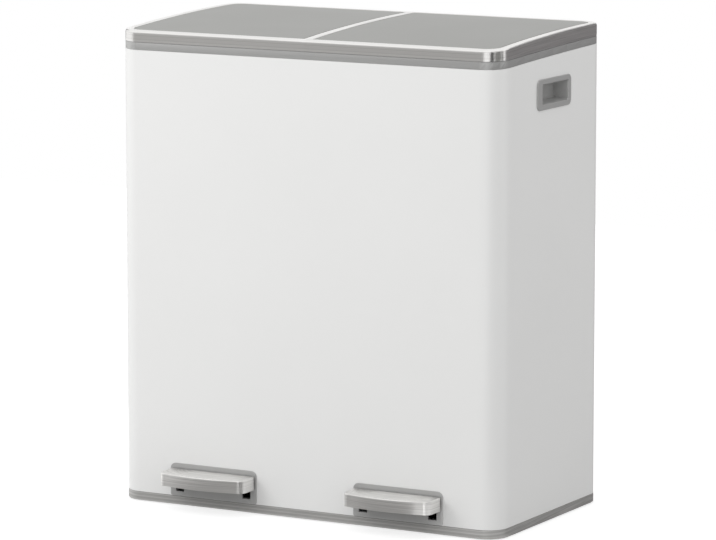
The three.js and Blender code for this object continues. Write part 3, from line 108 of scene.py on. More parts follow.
class Slot(Enum):
    """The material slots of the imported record."""

    WHITE_STEEL = "white_steel"
    GREY_PLASTIC = "grey_plastic"
    LID_GREY = "lid_grey"
    DARK_PLASTIC = "dark_plastic"
    BRUSHED_STEEL = "brushed_steel"
    PLATED_STEEL = "plated_steel"
    RUBBER = "rubber"


def anything(*_: Vector) -> bool:
    """The rule that chooses every element."""
    return True


def facing(axis: Axis, sign: int) -> Rule:
    """Make the rule that chooses the faces that look along an axis, or against it."""
    return lambda centre, normal: sign * normal[axis] > FACING


def both(test: Test) -> Rule:
    """Make the rule that chooses an edge when both its ends pass a test."""
    return lambda a, b: test(a) and test(b)


# ---- Shapes that several pieces share -------------------------------------------------------


@dataclass(frozen=True)
class Outline:
    """The rounded rectangle that the cabinet has in plan."""

    low: Vector
    high: Vector
    radius: float = 30 * MM

    def inset(self, x: float, y: float) -> float:
        """How far inside the outline a point is.

        Args:
            x: The point's X.
            y: The point's Y.

        Returns:
            The distance to the outline, negative outside it.
        """
        centre = (self.low + self.high) / 2
        dx = abs(x - centre.x) - (self.high.x - centre.x - self.radius)
        dy = abs(y - centre.y) - (self.high.y - centre.y - self.radius)
        outside = math.hypot(max(dx, 0.0), max(dy, 0.0))
        return self.radius - outside - min(max(dx, dy), 0.0)

    def has(self, x: float, y: float, inset: float = 0.0) -> bool:
        """Whether a point lies on the outline, or on the line at a distance inside it."""
        return abs(self.inset(x, y) - inset) < CLOSE

    def along(self, x: float, y: float) -> float:
        """How far round the outline a point is, from the middle of the back.

        Args:
            x: The point's X.
            y: The point's Y.

        Returns:
            A length that grows from the middle of the back, by either side, to the front.
        """
        centre = (self.low + self.high) / 2
        return abs(x - centre.x) + self.high.y - y


@dataclass(frozen=True)
class TopShape:
    """The surfaces at the top of the cabinet, which climb from the front to the back."""

    front: float
    depth: float
    body_top: float = 631.5 * MM
    body_rise: float = 10.5 * MM
    body_bow: float = 1.1 * MM
    band_height: float = 10 * MM
    rim_top: float = 657.5 * MM
    rim_rise: float = 12.5 * MM

    def share(self, y: float) -> float:
        """The share of the cabinet's depth at which a point lies."""
        return min(1.0, max(0.0, (y - self.front) / self.depth))

    def body_edge(self, y: float) -> float:
        """The height of the steel body's top edge."""
        t = self.share(y)
        return self.body_top + self.body_rise * t + 4 * self.body_bow * t * (1 - t)

    def band_edge(self, y: float) -> float:
        """The height of the joint between the grey band and the rim."""
        return self.body_edge(y) + self.band_height

    def surface(self, y: float) -> float:
        """The height of the surface that the rim, the bar and the lids share."""
        t = self.share(y)
        return self.rim_top + self.rim_rise * t * (2 - t)

    def lifted(self, place: Vector) -> float:
        """Where a point of a flat bar or lid goes as its top climbs."""
        return place.z - self.rim_top + self.surface(place.y)

    def has(self, place: Vector) -> bool:
        """Whether a point lies on the surface that the rim, the bar and the lids share."""
        return abs(place.z - self.surface(place.y)) < NEAR


OUTLINE = Outline(*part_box("body_shell"))
TOP = TopShape(front=OUTLINE.low.y, depth=OUTLINE.high.y - OUTLINE.low.y)
# About how far apart the rows across a piece are, and how far the end ones are from a corner.
ROW_STEP = 14 * MM
ROW_GAP = 1 * MM


def rows(low: float, high: float, corner: float) -> list[float]:
    """Find the planes that let a straight wall bend as its top edge climbs.

    Args:
        low: The wall's lowest Y.
        high: Its highest Y.
        corner: The radius of its corners, which the planes leave out.

    Returns:
        The Y of each plane.
    """
    first, last = low + corner + ROW_GAP, high - corner - ROW_GAP
    count = round((last - first) / ROW_STEP)
    return [first + (last - first) * i / count for i in range(count + 1)]


# ---- Mesh operators -------------------------------------------------------------------------


def focus(piece: Piece) -> None:
    """Make one piece the only selected object."""
    if bpy.context.mode != "OBJECT":
        bpy.ops.object.mode_set(mode="OBJECT")
    bpy.ops.object.select_all(action="DESELECT")
    piece.select_set(True)
    bpy.context.view_layer.objects.active = piece


def block(name: str, low: Iterable[float], high: Iterable[float]) -> Piece:
    """Add a box between two corners.

    Args:
        name: The new piece's name.
        low: Its lowest corner.
        high: Its highest corner.

    Returns:
        The new piece, with its place in its mesh.
    """
    bpy.ops.object.select_all(action="DESELECT")
    a, b = Vector(low), Vector(high)
    bpy.ops.mesh.primitive_cube_add(size=1, location=(a + b) / 2, scale=b - a)
    piece = bpy.context.object
    piece.name = name
    piece.data.name = name
    bpy.ops.object.transform_apply(location=True, rotation=True, scale=True)
    return piece


@contextmanager
def picked(piece: Piece, part: Part, rule: Rule) -> Iterator[None]:
    """Work in edit mode on what a rule chooses.

    Args:
        piece: The piece to work on.
        part: The kind of element that the rule is about.
        rule: It takes a vertex's place, an edge's two ends or a face's centre and normal.

    Yields:
        Nothing: the chosen elements are selected meanwhile.
    """
    focus(piece)
    mesh = piece.data
    places = [v.co for v in mesh.vertices]
    for elements in (mesh.vertices, mesh.edges, mesh.polygons):
        elements.foreach_set("select", [False] * len(elements))
    if part is Part.VERTEX:
        for vertex in mesh.vertices:
            vertex.select = rule(vertex.co)
    elif part is Part.EDGE:
        for edge in mesh.edges:
            edge.select = rule(places[edge.vertices[0]], places[edge.vertices[1]])
    else:
        for face in mesh.polygons:
            face.select = rule(face.center, face.normal)
    bpy.context.tool_settings.mesh_select_mode = [part is kind for kind in Part]
    bpy.ops.object.mode_set(mode="EDIT")
    yield
    bpy.ops.object.mode_set(mode="OBJECT")


def round_edges(piece: Piece, rule: Rule, radius: float, segments: int) -> None:
    """Round the edges that a rule chooses, in a number of steps."""
    with picked(piece, Part.EDGE, rule):
        bpy.ops.mesh.bevel(offset=radius, segments=segments, affect="EDGES")


def remove_faces(piece: Piece, rule: Rule) -> None:
    """Delete the faces that a rule chooses."""
    with picked(piece, Part.FACE, rule):
        bpy.ops.mesh.delete(type="FACE")


def inset_faces(piece: Piece, rule: Rule, width: float, push: Vector | None = None) -> None:
    """Inset the faces that a rule chooses, and push the new inner face.

    Args:
        piece: The piece to work on.
        rule: It takes a face's centre and normal.
        width: How far the new edge lies inside the old one.
        push: Where the inner face goes, or None to leave it in the plane.
    """
    with picked(piece, Part.FACE, rule):
        bpy.ops.mesh.inset(thickness=width)
        if push is not None:
            bpy.ops.transform.translate(value=push)


def resize_faces(piece: Piece, rule: Rule, factors: Iterable[float]) -> None:
    """Resize the faces that a rule chooses, about their middle, by a factor along each axis."""
    with picked(piece, Part.FACE, rule):
        bpy.ops.transform.resize(value=tuple(factors))


def extrude(piece: Piece, part: Part, rule: Rule, move: Vector) -> None:
    """Extrude the faces or edges that a rule chooses, and move the new ones."""
    with picked(piece, part, rule):
        bpy.ops.mesh.extrude_region_move(TRANSFORM_OT_translate={"value": move})


def slice_across(piece: Piece, axis: Axis, places: Iterable[float]) -> None:
    """Divide a piece by planes square to one axis.

    Args:
        piece: The piece to work on.
        axis: The axis that the planes are square to.
        places: Where the planes are along that axis.
    """
    normal = Vector([float(axis == i) for i in Axis])
    with picked(piece, Part.FACE, anything):
        for place in places:
            bpy.ops.mesh.select_all(action="SELECT")
            bpy.ops.mesh.bisect(plane_co=normal * place, plane_no=normal)


def shift_rows(piece: Piece, row_axis: Axis, move_axis: Axis, rule: Rule, target: Callable) -> None:
    """Move vertices, one row after the other, to where a function puts their row.

    Args:
        piece: The piece to work on.
        row_axis: The axis along which the rows follow each other.
        move_axis: The axis along which a row moves.
        rule: It takes a vertex's place and says whether it moves.
        target: It takes a vertex's place and gives its new coordinate on move_axis.
    """
    found: dict[tuple[int, ...], Vector] = {}
    for vertex in piece.data.vertices:
        if rule(vertex.co):
            key = tuple(round(vertex.co[axis] / NEAR) for axis in (row_axis, move_axis))
            found.setdefault(key, vertex.co.copy())
    moves = [(place, target(place) - place[move_axis]) for place in found.values()]
    for place, distance in sorted(moves, key=lambda move: -abs(move[1])):
        with picked(
            piece,
            Part.VERTEX,
            lambda co: all(abs(co[i] - place[i]) < NEAR for i in (row_axis, move_axis))
            and rule(co),
        ):
            bpy.ops.transform.translate(value=[distance * (i == move_axis) for i in Axis])


def modify(piece: Piece, kind: str, **settings: Any) -> None:
    """Add a modifier and apply it.

    Args:
        piece: The piece to work on.
        kind: Blender's name for the modifier.
        **settings: The modifier's properties.
    """
    focus(piece)
    modifier = piece.modifiers.new(kind.lower(), kind)
    for name, value in settings.items():
        setattr(modifier, name, value)
    bpy.ops.object.modifier_apply(modifier=modifier.name)


def thicken(piece: Piece, thickness: float) -> None:
    """Give an open skin its thickness, on the side away from its normals."""
    modify(
        piece,
        "SOLIDIFY",
        thickness=thickness,
        offset=-1.0,
        use_even_offset=True,
        use_quality_normals=True,
    )


def cut(piece: Piece, cutter: Piece) -> None:
    """Cut one piece with another, and remove the cutter."""
    modify(piece, "BOOLEAN", operation="DIFFERENCE", solver="EXACT", object=cutter)
    bpy.data.objects.remove(cutter)


def smooth(piece: Piece, degrees: float = SHARP_TURN) -> None:
    """Shade a piece smooth, with its sharp edges and its flat faces kept.

    Args:
        piece: The piece to work on.
        degrees: An edge that turns by more than this stays sharp.
    """
    focus(piece)
    bpy.ops.object.shade_smooth_by_angle(angle=math.radians(degrees))
    modify(piece, "WEIGHTED_NORMAL", mode="FACE_AREA", weight=100, keep_sharp=True)


def copied(source: Piece, name: str) -> Piece:
    """Copy a piece with a mesh of its own.

    Args:
        source: The piece to copy.
        name: The copy's name.

    Returns:
        The copy, which carries no material and rides on nothing yet.
    """
    copy = bpy.data.objects.new(name, source.data.copy())
    copy.data.name = name
    copy.data.materials.clear()
    bpy.context.scene.collection.objects.link(copy)
    return copy


def mirrored(source: Piece, name: str) -> Piece:
    """Copy a piece to the other side of the bin.

    Args:
        source: The piece on one side.
        name: The copy's name.

    Returns:
        The mirror image, with its normals turned outwards.
    """
    copy = copied(source, name)
    focus(copy)
    copy.scale.x = -1
    bpy.ops.object.transform_apply(location=False, rotation=False, scale=True)
    with picked(copy, Part.FACE, anything):
        bpy.ops.mesh.normals_make_consistent(inside=False)
    return copy


def flipped(piece: Piece, name: str, degrees: float = SHARP_TURN) -> Piece:
    """Put a piece's smooth mirror image in its place.

    Args:
        piece: The piece on one side, which is removed.
        name: The new piece's name.
        degrees: An edge that turns by more than this stays sharp.

    Returns:
        The piece on the other side.
    """
    image = mirrored(piece, name)
    bpy.data.objects.remove(piece)
    smooth(image, degrees)
    return image


def lay_brush(piece: Piece, along: Callable, across: Callable) -> None:
    """Give a piece the map that its brushed grain follows.

    Args:
        piece: The piece to work on.
        along: It takes a place and gives the length along the grain.
        across: It takes a place and gives the length across the grain.
    """
    layers = piece.data.uv_layers
    layer = layers.get(BrushedSteel.MAP) or layers.new(name=BrushedSteel.MAP)
    for loop in piece.data.loops:
        place = piece.data.vertices[loop.vertex_index].co
        layer.data[loop.index].uv = (along(place), across(place))


def smooth_casting(node: str) -> Piece:
    """Copy a CAD node, merge its loose triangles and shade its round faces smooth.

    Args:
        node: The CAD node's name.

    Returns:
        The copy, which stands for the node.
    """
    copy = copied(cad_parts[node], f"{node}_cast")
    with picked(copy, Part.VERTEX, anything):
        bpy.ops.mesh.remove_doubles(threshold=WELD)
    smooth(copy)
    return copy


# ---- Finishes -------------------------------------------------------------------------------


def linear(hex_colour: str) -> tuple[float, float, float, float]:
    """Turn an sRGB hex colour into linear light.

    Args:
        hex_colour: A colour such as "#A0B1C2".

    Returns:
        Red, green and blue in linear light, and full alpha.
    """
    values = [int(hex_colour[i : i + 2], 16) / 255 for i in (1, 3, 5)]
    return (*[v / 12.92 if v <= 0.04045 else ((v + 0.055) / 1.055) ** 2.4 for v in values], 1.0)


def add_node(tree: Tree, kind: str, inputs: dict | None = None, **settings: Any) -> Node:
    """Add one node, with its settings and links.

    Args:
        tree: The node tree it goes into.
        kind: Blender's name for the node.
        inputs: For each input, its value or the socket that it is linked from.
        **settings: The node's properties.

    Returns:
        The new node.
    """
    node = tree.nodes.new(kind)
    for name, value in settings.items():
        setattr(node, name, value)
    for name, value in (inputs or {}).items():
        if isinstance(value, Socket):
            tree.links.new(value, node.inputs[name])
        else:
            node.inputs[name].default_value = value
    return node


def blank_material(name: str) -> Material:
    """Make a material with no node in it yet."""
    made = bpy.data.materials.new(name)
    made.use_nodes = True
    made.node_tree.nodes.clear()
    return made


@dataclass(frozen=True)
class Finish:
    """A surface finish, and the material that shows it.

    The pattern's tone passes from the second colour to the first between the two tones in
    contrast, and the strength and the depth are those of its relief.
    """

    name: str
    slot: Slot
    colours: tuple[str, str]
    roughness: float
    roughness_spread: float
    ior: float = 1.5
    strength: float = 0.1
    depth: float = 0.03 * MM
    contrast: tuple[float, float] = (0.0, 1.0)

    def nodes(self, tree: Tree) -> tuple[Socket, Socket]:
        """Add the pattern's nodes.

        Args:
            tree: The material's node tree.

        Returns:
            The socket that mixes the two colours and the socket that gives the relief.
        """
        raise NotImplementedError

    def dress_shader(self, tree: Tree, shader: Node) -> None:
        """Set what this finish alone sets on the shader."""

    def material(self) -> Material:
        """Find or make the material.

        Returns:
            The material of this finish.
        """
        found = bpy.data.materials.get(self.name)
        if found:
            return found
        made = blank_material(self.name)
        tree = made.node_tree
        tone, height = self.nodes(tree)
        colour = self._mix(tree, tone)
        rough = add_node(
            tree,
            "ShaderNodeMapRange",
            {
                "Value": tone,
                "To Min": self.roughness + self.roughness_spread,
                "To Max": self.roughness - self.roughness_spread,
            },
        )
        bump = add_node(
            tree,
            "ShaderNodeBump",
            {"Height": height, "Strength": self.strength, "Distance": self.depth},
        )
        shader = add_node(
            tree,
            "ShaderNodeBsdfPrincipled",
            {
                "Base Color": colour,
                "Roughness": rough.outputs["Result"],
                "IOR": self.ior,
                "Normal": bump.outputs["Normal"],
            },
        )
        self.dress_shader(tree, shader)
        add_node(tree, "ShaderNodeOutputMaterial", {"Surface": shader.outputs["BSDF"]})
        return made

    def _mix(self, tree: Tree, tone: Socket) -> Socket:
        """Mix the two colours by the pattern's tone."""
        ramp = add_node(tree, "ShaderNodeValToRGB", {"Fac": tone})
        stops = zip(ramp.color_ramp.elements, self.contrast, reversed(self.colours))
        for stop, place, colour in stops:
            stop.position = place
            stop.color = linear(colour)
        return ramp.outputs["Color"]


@dataclass(frozen=True)
class Grained(Finish):
    """A finish with an even grain, such as powder coat or moulded plastic.

    A slow cloud varies the tone by a little, and the fine grain gives the relief.
    """

    grain: float = 1.5 * MM
    cloud: float = 180 * MM

    def nodes(self, tree: Tree) -> tuple[Socket, Socket]:
        """Add the cloud and the grain, both on object coordinates."""
        place = add_node(tree, "ShaderNodeTexCoord").outputs["Object"]
        cloud, grain = (
            add_node(
                tree, "ShaderNodeTexNoise", {"Vector": place, "Scale": 1 / size, "Detail": detail}
            )
            for size, detail in ((self.cloud, 3.0), (self.grain, 2.0))
        )
        return cloud.outputs["Fac"], grain.outputs["Fac"]


@dataclass(frozen=True)
class BrushedSteel(Finish):
    """Stainless steel, brushed along its length.

    The streaks are drawn about 2 mm wide, coarser than real brushing, so that they show.
    """

    MAP = "brush"
    strength: float = 0.12
    depth: float = 0.02 * MM
    contrast: tuple[float, float] = (0.3, 0.7)
    streak_length: float = 110 * MM
    streak_width: float = 1.7 * MM
    anisotropy: float = 0.75
    anisotropy_turn: float = 0.25
    metallic: float = 1.0

    def nodes(self, tree: Tree) -> tuple[Socket, Socket]:
        """Add the streaks, on the map that follows the grain."""
        place = add_node(tree, "ShaderNodeUVMap", uv_map=self.MAP).outputs["UV"]
        scale = (1 / self.streak_length, 1 / self.streak_width, 1.0)
        stretched = add_node(tree, "ShaderNodeMapping", {"Vector": place, "Scale": scale})
        streaks = add_node(
            tree,
            "ShaderNodeTexNoise",
            {"Vector": stretched.outputs["Vector"], "Scale": 1.0, "Detail": 4.0, "Roughness": 0.6},
            noise_dimensions="2D",
        )
        return streaks.outputs["Fac"], streaks.outputs["Fac"]

    def dress_shader(self, tree: Tree, shader: Node) -> None:
        """Make the shader a metal whose highlights spread across the grain."""
        tangent = add_node(tree, "ShaderNodeTangent", direction_type="UV_MAP", uv_map=self.MAP)
        tree.links.new(tangent.outputs["Tangent"], shader.inputs["Tangent"])
        shader.inputs["Metallic"].default_value = self.metallic
        shader.inputs["Anisotropic"].default_value = self.anisotropy
        shader.inputs["Anisotropic Rotation"].default_value = self.anisotropy_turn


@dataclass(frozen=True)
class MetalCoat(Grained):
    """A grained finish with metal in it: zinc plate, or plastic in a silver paint."""

    metallic: float = 1.0

    def dress_shader(self, tree: Tree, shader: Node) -> None:
        """Make the shader a metal, wholly or in part."""
        shader.inputs["Metallic"].default_value = self.metallic


# Each finish gives its two colours, its roughness and how far that varies with the pattern.

# Sheet steel under a baked white powder coat: an even satin white with a faint orange peel.
WHITE_POWDER_COAT = Grained(
    "white powder coat", Slot.WHITE_STEEL, ("#EEEEED", "#EAEAE9"), 0.36, 0.02,
    strength=0.05, grain=1.6 * MM,
)
# Steel lids under a smooth warm-grey lacquer: matte, and even to the eye.
LID_LACQUER = Grained(
    "warm grey lacquer", Slot.LID_GREY, ("#969693", "#91918E"), 0.45, 0.03,
    strength=0.05, grain=0.9 * MM,
)
# ABS in a silver-grey paint: a little metal in its sheen, so it darkens as it turns away.
SILVER_ABS = MetalCoat(
    "silver painted ABS", Slot.GREY_PLASTIC, ("#BDBDBC", "#B6B6B5"), 0.38, 0.03,
    grain=0.8 * MM, metallic=0.55,
)
# The same ABS with less metal in its paint, on handles and bezels: a satin light grey.
SATIN_ABS = MetalCoat(
    "satin grey ABS", Slot.GREY_PLASTIC, ("#BFBFBE", "#B9B9B8"), 0.42, 0.03,
    grain=0.8 * MM, metallic=0.4,
)
# Polypropylene with a spark-eroded mould texture: an even dark grey, for what is inside.
DARK_POLYPROPYLENE = Grained(
    "dark polypropylene", Slot.DARK_PLASTIC, ("#4B4B4A", "#434342"), 0.55, 0.04,
    strength=0.15, grain=0.7 * MM,
)
# AISI 430 stainless sheet, brushed lengthwise.
STAINLESS = BrushedSteel(
    "brushed stainless steel", Slot.BRUSHED_STEEL, ("#F8F7F5", "#DBDAD8"), 0.3, 0.04
)
# The same sheet on the pedals, brushed more coarsely.
COARSE_STAINLESS = BrushedSteel(
    "coarsely brushed stainless steel", Slot.BRUSHED_STEEL, ("#FCFBF9", "#E0DFDD"), 0.38, 0.04
)
# ABS under a silver film with a brushed print, on the base tray: streaks, but little mirror.
BRUSHED_FILM = BrushedSteel(
    "brushed silver film on ABS", Slot.GREY_PLASTIC, ("#BEBDBB", "#9A9997"), 0.42, 0.04,
    metallic=0.35,
)
# Mild steel with a dull zinc plate: grey, with faint clouds.
ZINC_PLATE = MetalCoat(
    "zinc plated steel", Slot.PLATED_STEEL, ("#9A9A98", "#868684"), 0.42, 0.06,
    grain=0.5 * MM, cloud=14 * MM,
)
# Moulded rubber: black and dull.
BLACK_RUBBER = Grained(
    "black rubber", Slot.RUBBER, ("#262626", "#1E1E1E"), 0.85, 0.05,
    strength=0.2, grain=0.6 * MM,
)


def dress(piece: Piece, finish: Finish) -> None:
    """Give a piece one finish all over."""
    piece.data.materials.clear()
    piece.data.materials.append(finish.material())


def seat(piece: Piece, finish: Finish, body: str, *nodes: str) -> None:
    """Dress a new piece and put it on its body, in the place of CAD nodes.

    Args:
        piece: The finished piece.
        finish: Its finish.
        body: The CAD body that it moves with.
        *nodes: The CAD nodes that it stands for.
    """
    dress(piece, finish)
    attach(piece, body)
    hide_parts(*nodes)
    LOG.info("%s: %d faces, rides on %s", piece.name, len(piece.data.polygons), body)


def cast(node: str, finish: Finish, body: str) -> None:
    """Stand a smooth casting in the place of a CAD node."""
    seat(smooth_casting(node), finish, body, node)


# ---- The cabinet ----------------------------------------------------------------------------


@dataclass
class Cabinet:
    """The fixed part of the bin: body, base, top frame, rim, bar, handles and feet."""

    sheet: float = 1.2 * MM
    corner_steps: int = 14
    hem: float = 0.9 * MM
    rim_width: float = 12 * MM
    rim_fillet: float = 4 * MM
    rim_fillet_steps: int = 6
    rim_lip: float = 7 * MM
    rim_inner_round: float = 0.8 * MM
    small_steps: int = 3
    seat_gap: float = 0.3 * MM
    rim_gap: float = 1.0 * MM
    window_margin: float = 4 * MM
    bezel_margin_x: float = 5.2 * MM
    bezel_margin_z: float = 4.2 * MM
    handle_corner: float = 8 * MM
    handle_corner_steps: int = 8
    handle_inset: float = 5.6 * MM
    handle_ring: float = 0.1 * MM
    handle_round: float = 1.2 * MM
    handle_round_steps: int = 4
    handle_sheet: float = 1.1 * MM
    handle_mouth_back: float = 3 * MM
    # The pocket's steps from the mouth inwards: the width, the height and the depth of each.
    handle_steps: tuple[tuple[float, float, float], ...] = (
        (80 * MM, 29 * MM, 0.0),
        (78 * MM, 26 * MM, 2 * MM),
        (76 * MM, 22 * MM, 22 * MM),
    )
    reach: float = 5 * MM
    body: str = "cabinet"

    @staticmethod
    def rows() -> list[float]:
        """The planes across the body and the rim."""
        return rows(OUTLINE.low.y, OUTLINE.high.y, OUTLINE.radius)

    def tube(self, name: str, low_z: float, high_z: float) -> Piece:
        """Add a rounded box on the cabinet's outline.

        Args:
            name: The new piece's name.
            low_z: Its lowest height.
            high_z: Its highest height.

        Returns:
            The box, with its upright edges rounded.
        """
        piece = block(
            name,
            (OUTLINE.low.x, OUTLINE.low.y, low_z),
            (OUTLINE.high.x, OUTLINE.high.y, high_z),
        )
        round_edges(
            piece,
            lambda a, b: abs(a.z - b.z) > self.reach,
            OUTLINE.radius,
            self.corner_steps,
        )
        return piece

    def build_body(self) -> None:
        """Fold the white steel body, hem its top edge and cut its windows."""
        low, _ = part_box("body_shell")
        flat_top = TOP.body_top
        shell = self.tube("body", low.z, flat_top)
        remove_faces(shell, lambda centre, normal: abs(normal.z) > FACING)
        slice_across(shell, Axis.Y, self.rows())
        thicken(shell, self.sheet)
        shift_rows(
            shell,
            Axis.Y,
            Axis.Z,
            lambda place: place.z > flat_top - self.reach,
            lambda place: TOP.body_edge(place.y),
        )
        round_edges(
            shell,
            both(
                lambda p: abs(p.z - TOP.body_edge(p.y)) < NEAR
                and OUTLINE.inset(p.x, p.y) < self.sheet / 4
            ),
            self.hem,
            self.small_steps,
        )
        for side in Side:
            cut(shell, self.handle_window(side))
            cut(shell, self.pedal_window(side))
        smooth(shell)
        seat(shell, WHITE_POWDER_COAT, self.body, "body_shell")

    def handle_window(self, side: Side) -> Piece:
        """Make the cutter for the opening behind one handle's flange."""
        low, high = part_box(f"handle_pocket_{side.word}")
        face = side.value * OUTLINE.high.x
        margin = self.window_margin
        return block(
            "handle_window",
            (face - self.reach, low.y + margin, low.z + margin),
            (face + self.reach, high.y - margin, high.z - margin),
        )

    def pedal_window(self, side: Side) -> Piece:
        """Make the cutter for the opening behind one pedal's bezel."""
        low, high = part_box(f"pedal_bezel_{side.word}")
        across, up = self.bezel_margin_x, self.bezel_margin_z
        return block(
            "pedal_window",
            (low.x + across, OUTLINE.low.y - self.reach, low.z + up),
            (high.x - across, OUTLINE.low.y + self.reach, high.z - up),
        )

    def build_rim(self) -> None:
        """Fold the steel hoop on top: an outer wall, a rounded edge, a top and an inner lip."""
        rim = self.tube("rim_hoop", TOP.band_edge(TOP.front), TOP.rim_top)
        remove_faces(rim, facing(Axis.Z, -1))
        inset_faces(rim, facing(Axis.Z, 1), self.rim_width)
        remove_faces(
            rim,
            lambda centre, normal: normal.z > FACING
            and OUTLINE.inset(centre.x, centre.y) > self.rim_width,
        )
        extrude(
            rim,
            Part.EDGE,
            both(lambda p: OUTLINE.inset(p.x, p.y) > self.rim_width - NEAR),
            Vector((0, 0, -self.rim_lip)),
        )
        slice_across(rim, Axis.Y, self.rows())
        shift_rows(rim, Axis.Y, Axis.Z, anything, self.rim_height)
        for inset, radius, steps in (
            (0.0, self.rim_fillet, self.rim_fillet_steps),
            (self.rim_width, self.rim_inner_round, self.small_steps),
        ):
            round_edges(
                rim,
                both(lambda p: TOP.has(p) and OUTLINE.has(p.x, p.y, inset)),
                radius,
                steps,
            )
        thicken(rim, self.sheet)
        smooth(rim)
        self.brush_hoop(rim)
        seat(rim, STAINLESS, self.body, "steel_rim")

    def rim_height(self, place: Vector) -> float:
        """Where a point of the flat rim goes as the rim climbs.

        Args:
            place: The point on the flat rim.

        Returns:
            Its height on the climbing rim.
        """
        if abs(place.z - TOP.rim_top) < NEAR:
            return TOP.surface(place.y)
        if abs(place.z - TOP.rim_top + self.rim_lip) < NEAR:
            return TOP.surface(place.y) - self.rim_lip
        return TOP.band_edge(place.y) + self.rim_gap

    def brush_hoop(self, piece: Piece) -> None:
        """Lay the brushed grain round the cabinet's outline."""
        lay_brush(
            piece,
            lambda place: OUTLINE.along(place.x, place.y),
            lambda place: TOP.surface(place.y) - place.z - OUTLINE.inset(place.x, place.y),
        )

    def build_bar(self) -> None:
        """Fold the steel bar between the lids."""
        low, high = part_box("rim_bar")
        bar = block(
            "middle_bar",
            (low.x, low.y, TOP.rim_top - self.rim_lip),
            (high.x, high.y, TOP.rim_top),
        )
        for axis, sign in ((Axis.Z, -1), (Axis.Y, -1), (Axis.Y, 1)):
            remove_faces(bar, facing(axis, sign))
        slice_across(bar, Axis.Y, self.rows())
        shift_rows(bar, Axis.Y, Axis.Z, anything, TOP.lifted)
        round_edges(
            bar,
            lambda a, b: abs(a.x - b.x) < NEAR
            and min(p.z - TOP.surface(p.y) for p in (a, b)) > -NEAR,
            self.rim_inner_round,
            self.small_steps,
        )
        thicken(bar, self.sheet)
        smooth(bar)
        lay_brush(
            bar,
            lambda place: place.y,
            lambda place: place.x + TOP.surface(place.y) - place.z,
        )
        seat(bar, STAINLESS, self.body, "rim_bar")

    def build_handle(self) -> Piece:
        """Mould the right handle: a rounded flange and a tapered pocket for the fingers.

        Returns:
            The handle on the right.
        """
        low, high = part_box("handle_pocket_right")
        middle = (low + high) / 2
        handle = block("handle_right", (OUTLINE.high.x + self.seat_gap, low.y, low.z), high)
        round_edges(
            handle,
            lambda a, b: abs(a.x - b.x) > NEAR,
            self.handle_corner,
            self.handle_corner_steps,
        )
        remove_faces(handle, facing(Axis.X, -1))

        def front(centre: Vector, normal: Vector) -> bool:
            """Whether a face is the innermost one that looks outwards."""
            off = max(abs(centre.y - middle.y), abs(centre.z - middle.z))
            return normal.x > FACING and off < self.reach

        wide = high.y - low.y - 2 * self.handle_inset
        tall = high.z - low.z - 2 * self.handle_inset
        inset_faces(handle, front, self.handle_inset)
        inset_faces(handle, front, self.handle_ring, Vector((0, self.handle_mouth_back, 0)))
        depth = 0.0
        for next_wide, next_tall, next_depth in self.handle_steps:
            if next_depth > depth:
                extrude(handle, Part.FACE, front, Vector((depth - next_depth, 0, 0)))
            resize_faces(handle, front, (1.0, next_wide / wide, next_tall / tall))
            wide, tall, depth = next_wide, next_tall, next_depth
        flange = Outline(low.yz, high.yz, self.handle_corner)
        round_edges(
            handle,
            both(lambda p: abs(p.x - high.x) < NEAR and flange.has(p.y, p.z)),
            self.handle_round,
            self.handle_round_steps,
        )
        thicken(handle, self.handle_sheet)
        smooth(handle, ROUND_TURN)
        return handle

    def build(self) -> None:
        """Build and dress the whole cabinet."""
        self.build_body()
        tray = smooth_casting("base_tray")
        self.brush_hoop(tray)
        seat(tray, BRUSHED_FILM, self.body, "base_tray")
        cast("top_frame", SILVER_ABS, self.body)
        self.build_rim()
        self.build_bar()
        right = self.build_handle()
        left = mirrored(right, "handle_left")
        smooth(left, ROUND_TURN)
        seat(right, SATIN_ABS, self.body, "handle_pocket_right")
        seat(left, SATIN_ABS, self.body, "handle_pocket_left")
        for node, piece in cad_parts.items():
            if node.startswith("foot_pad"):
                dress(piece, BLACK_RUBBER)


# ---- Lids -----------------------------------------------------------------------------------


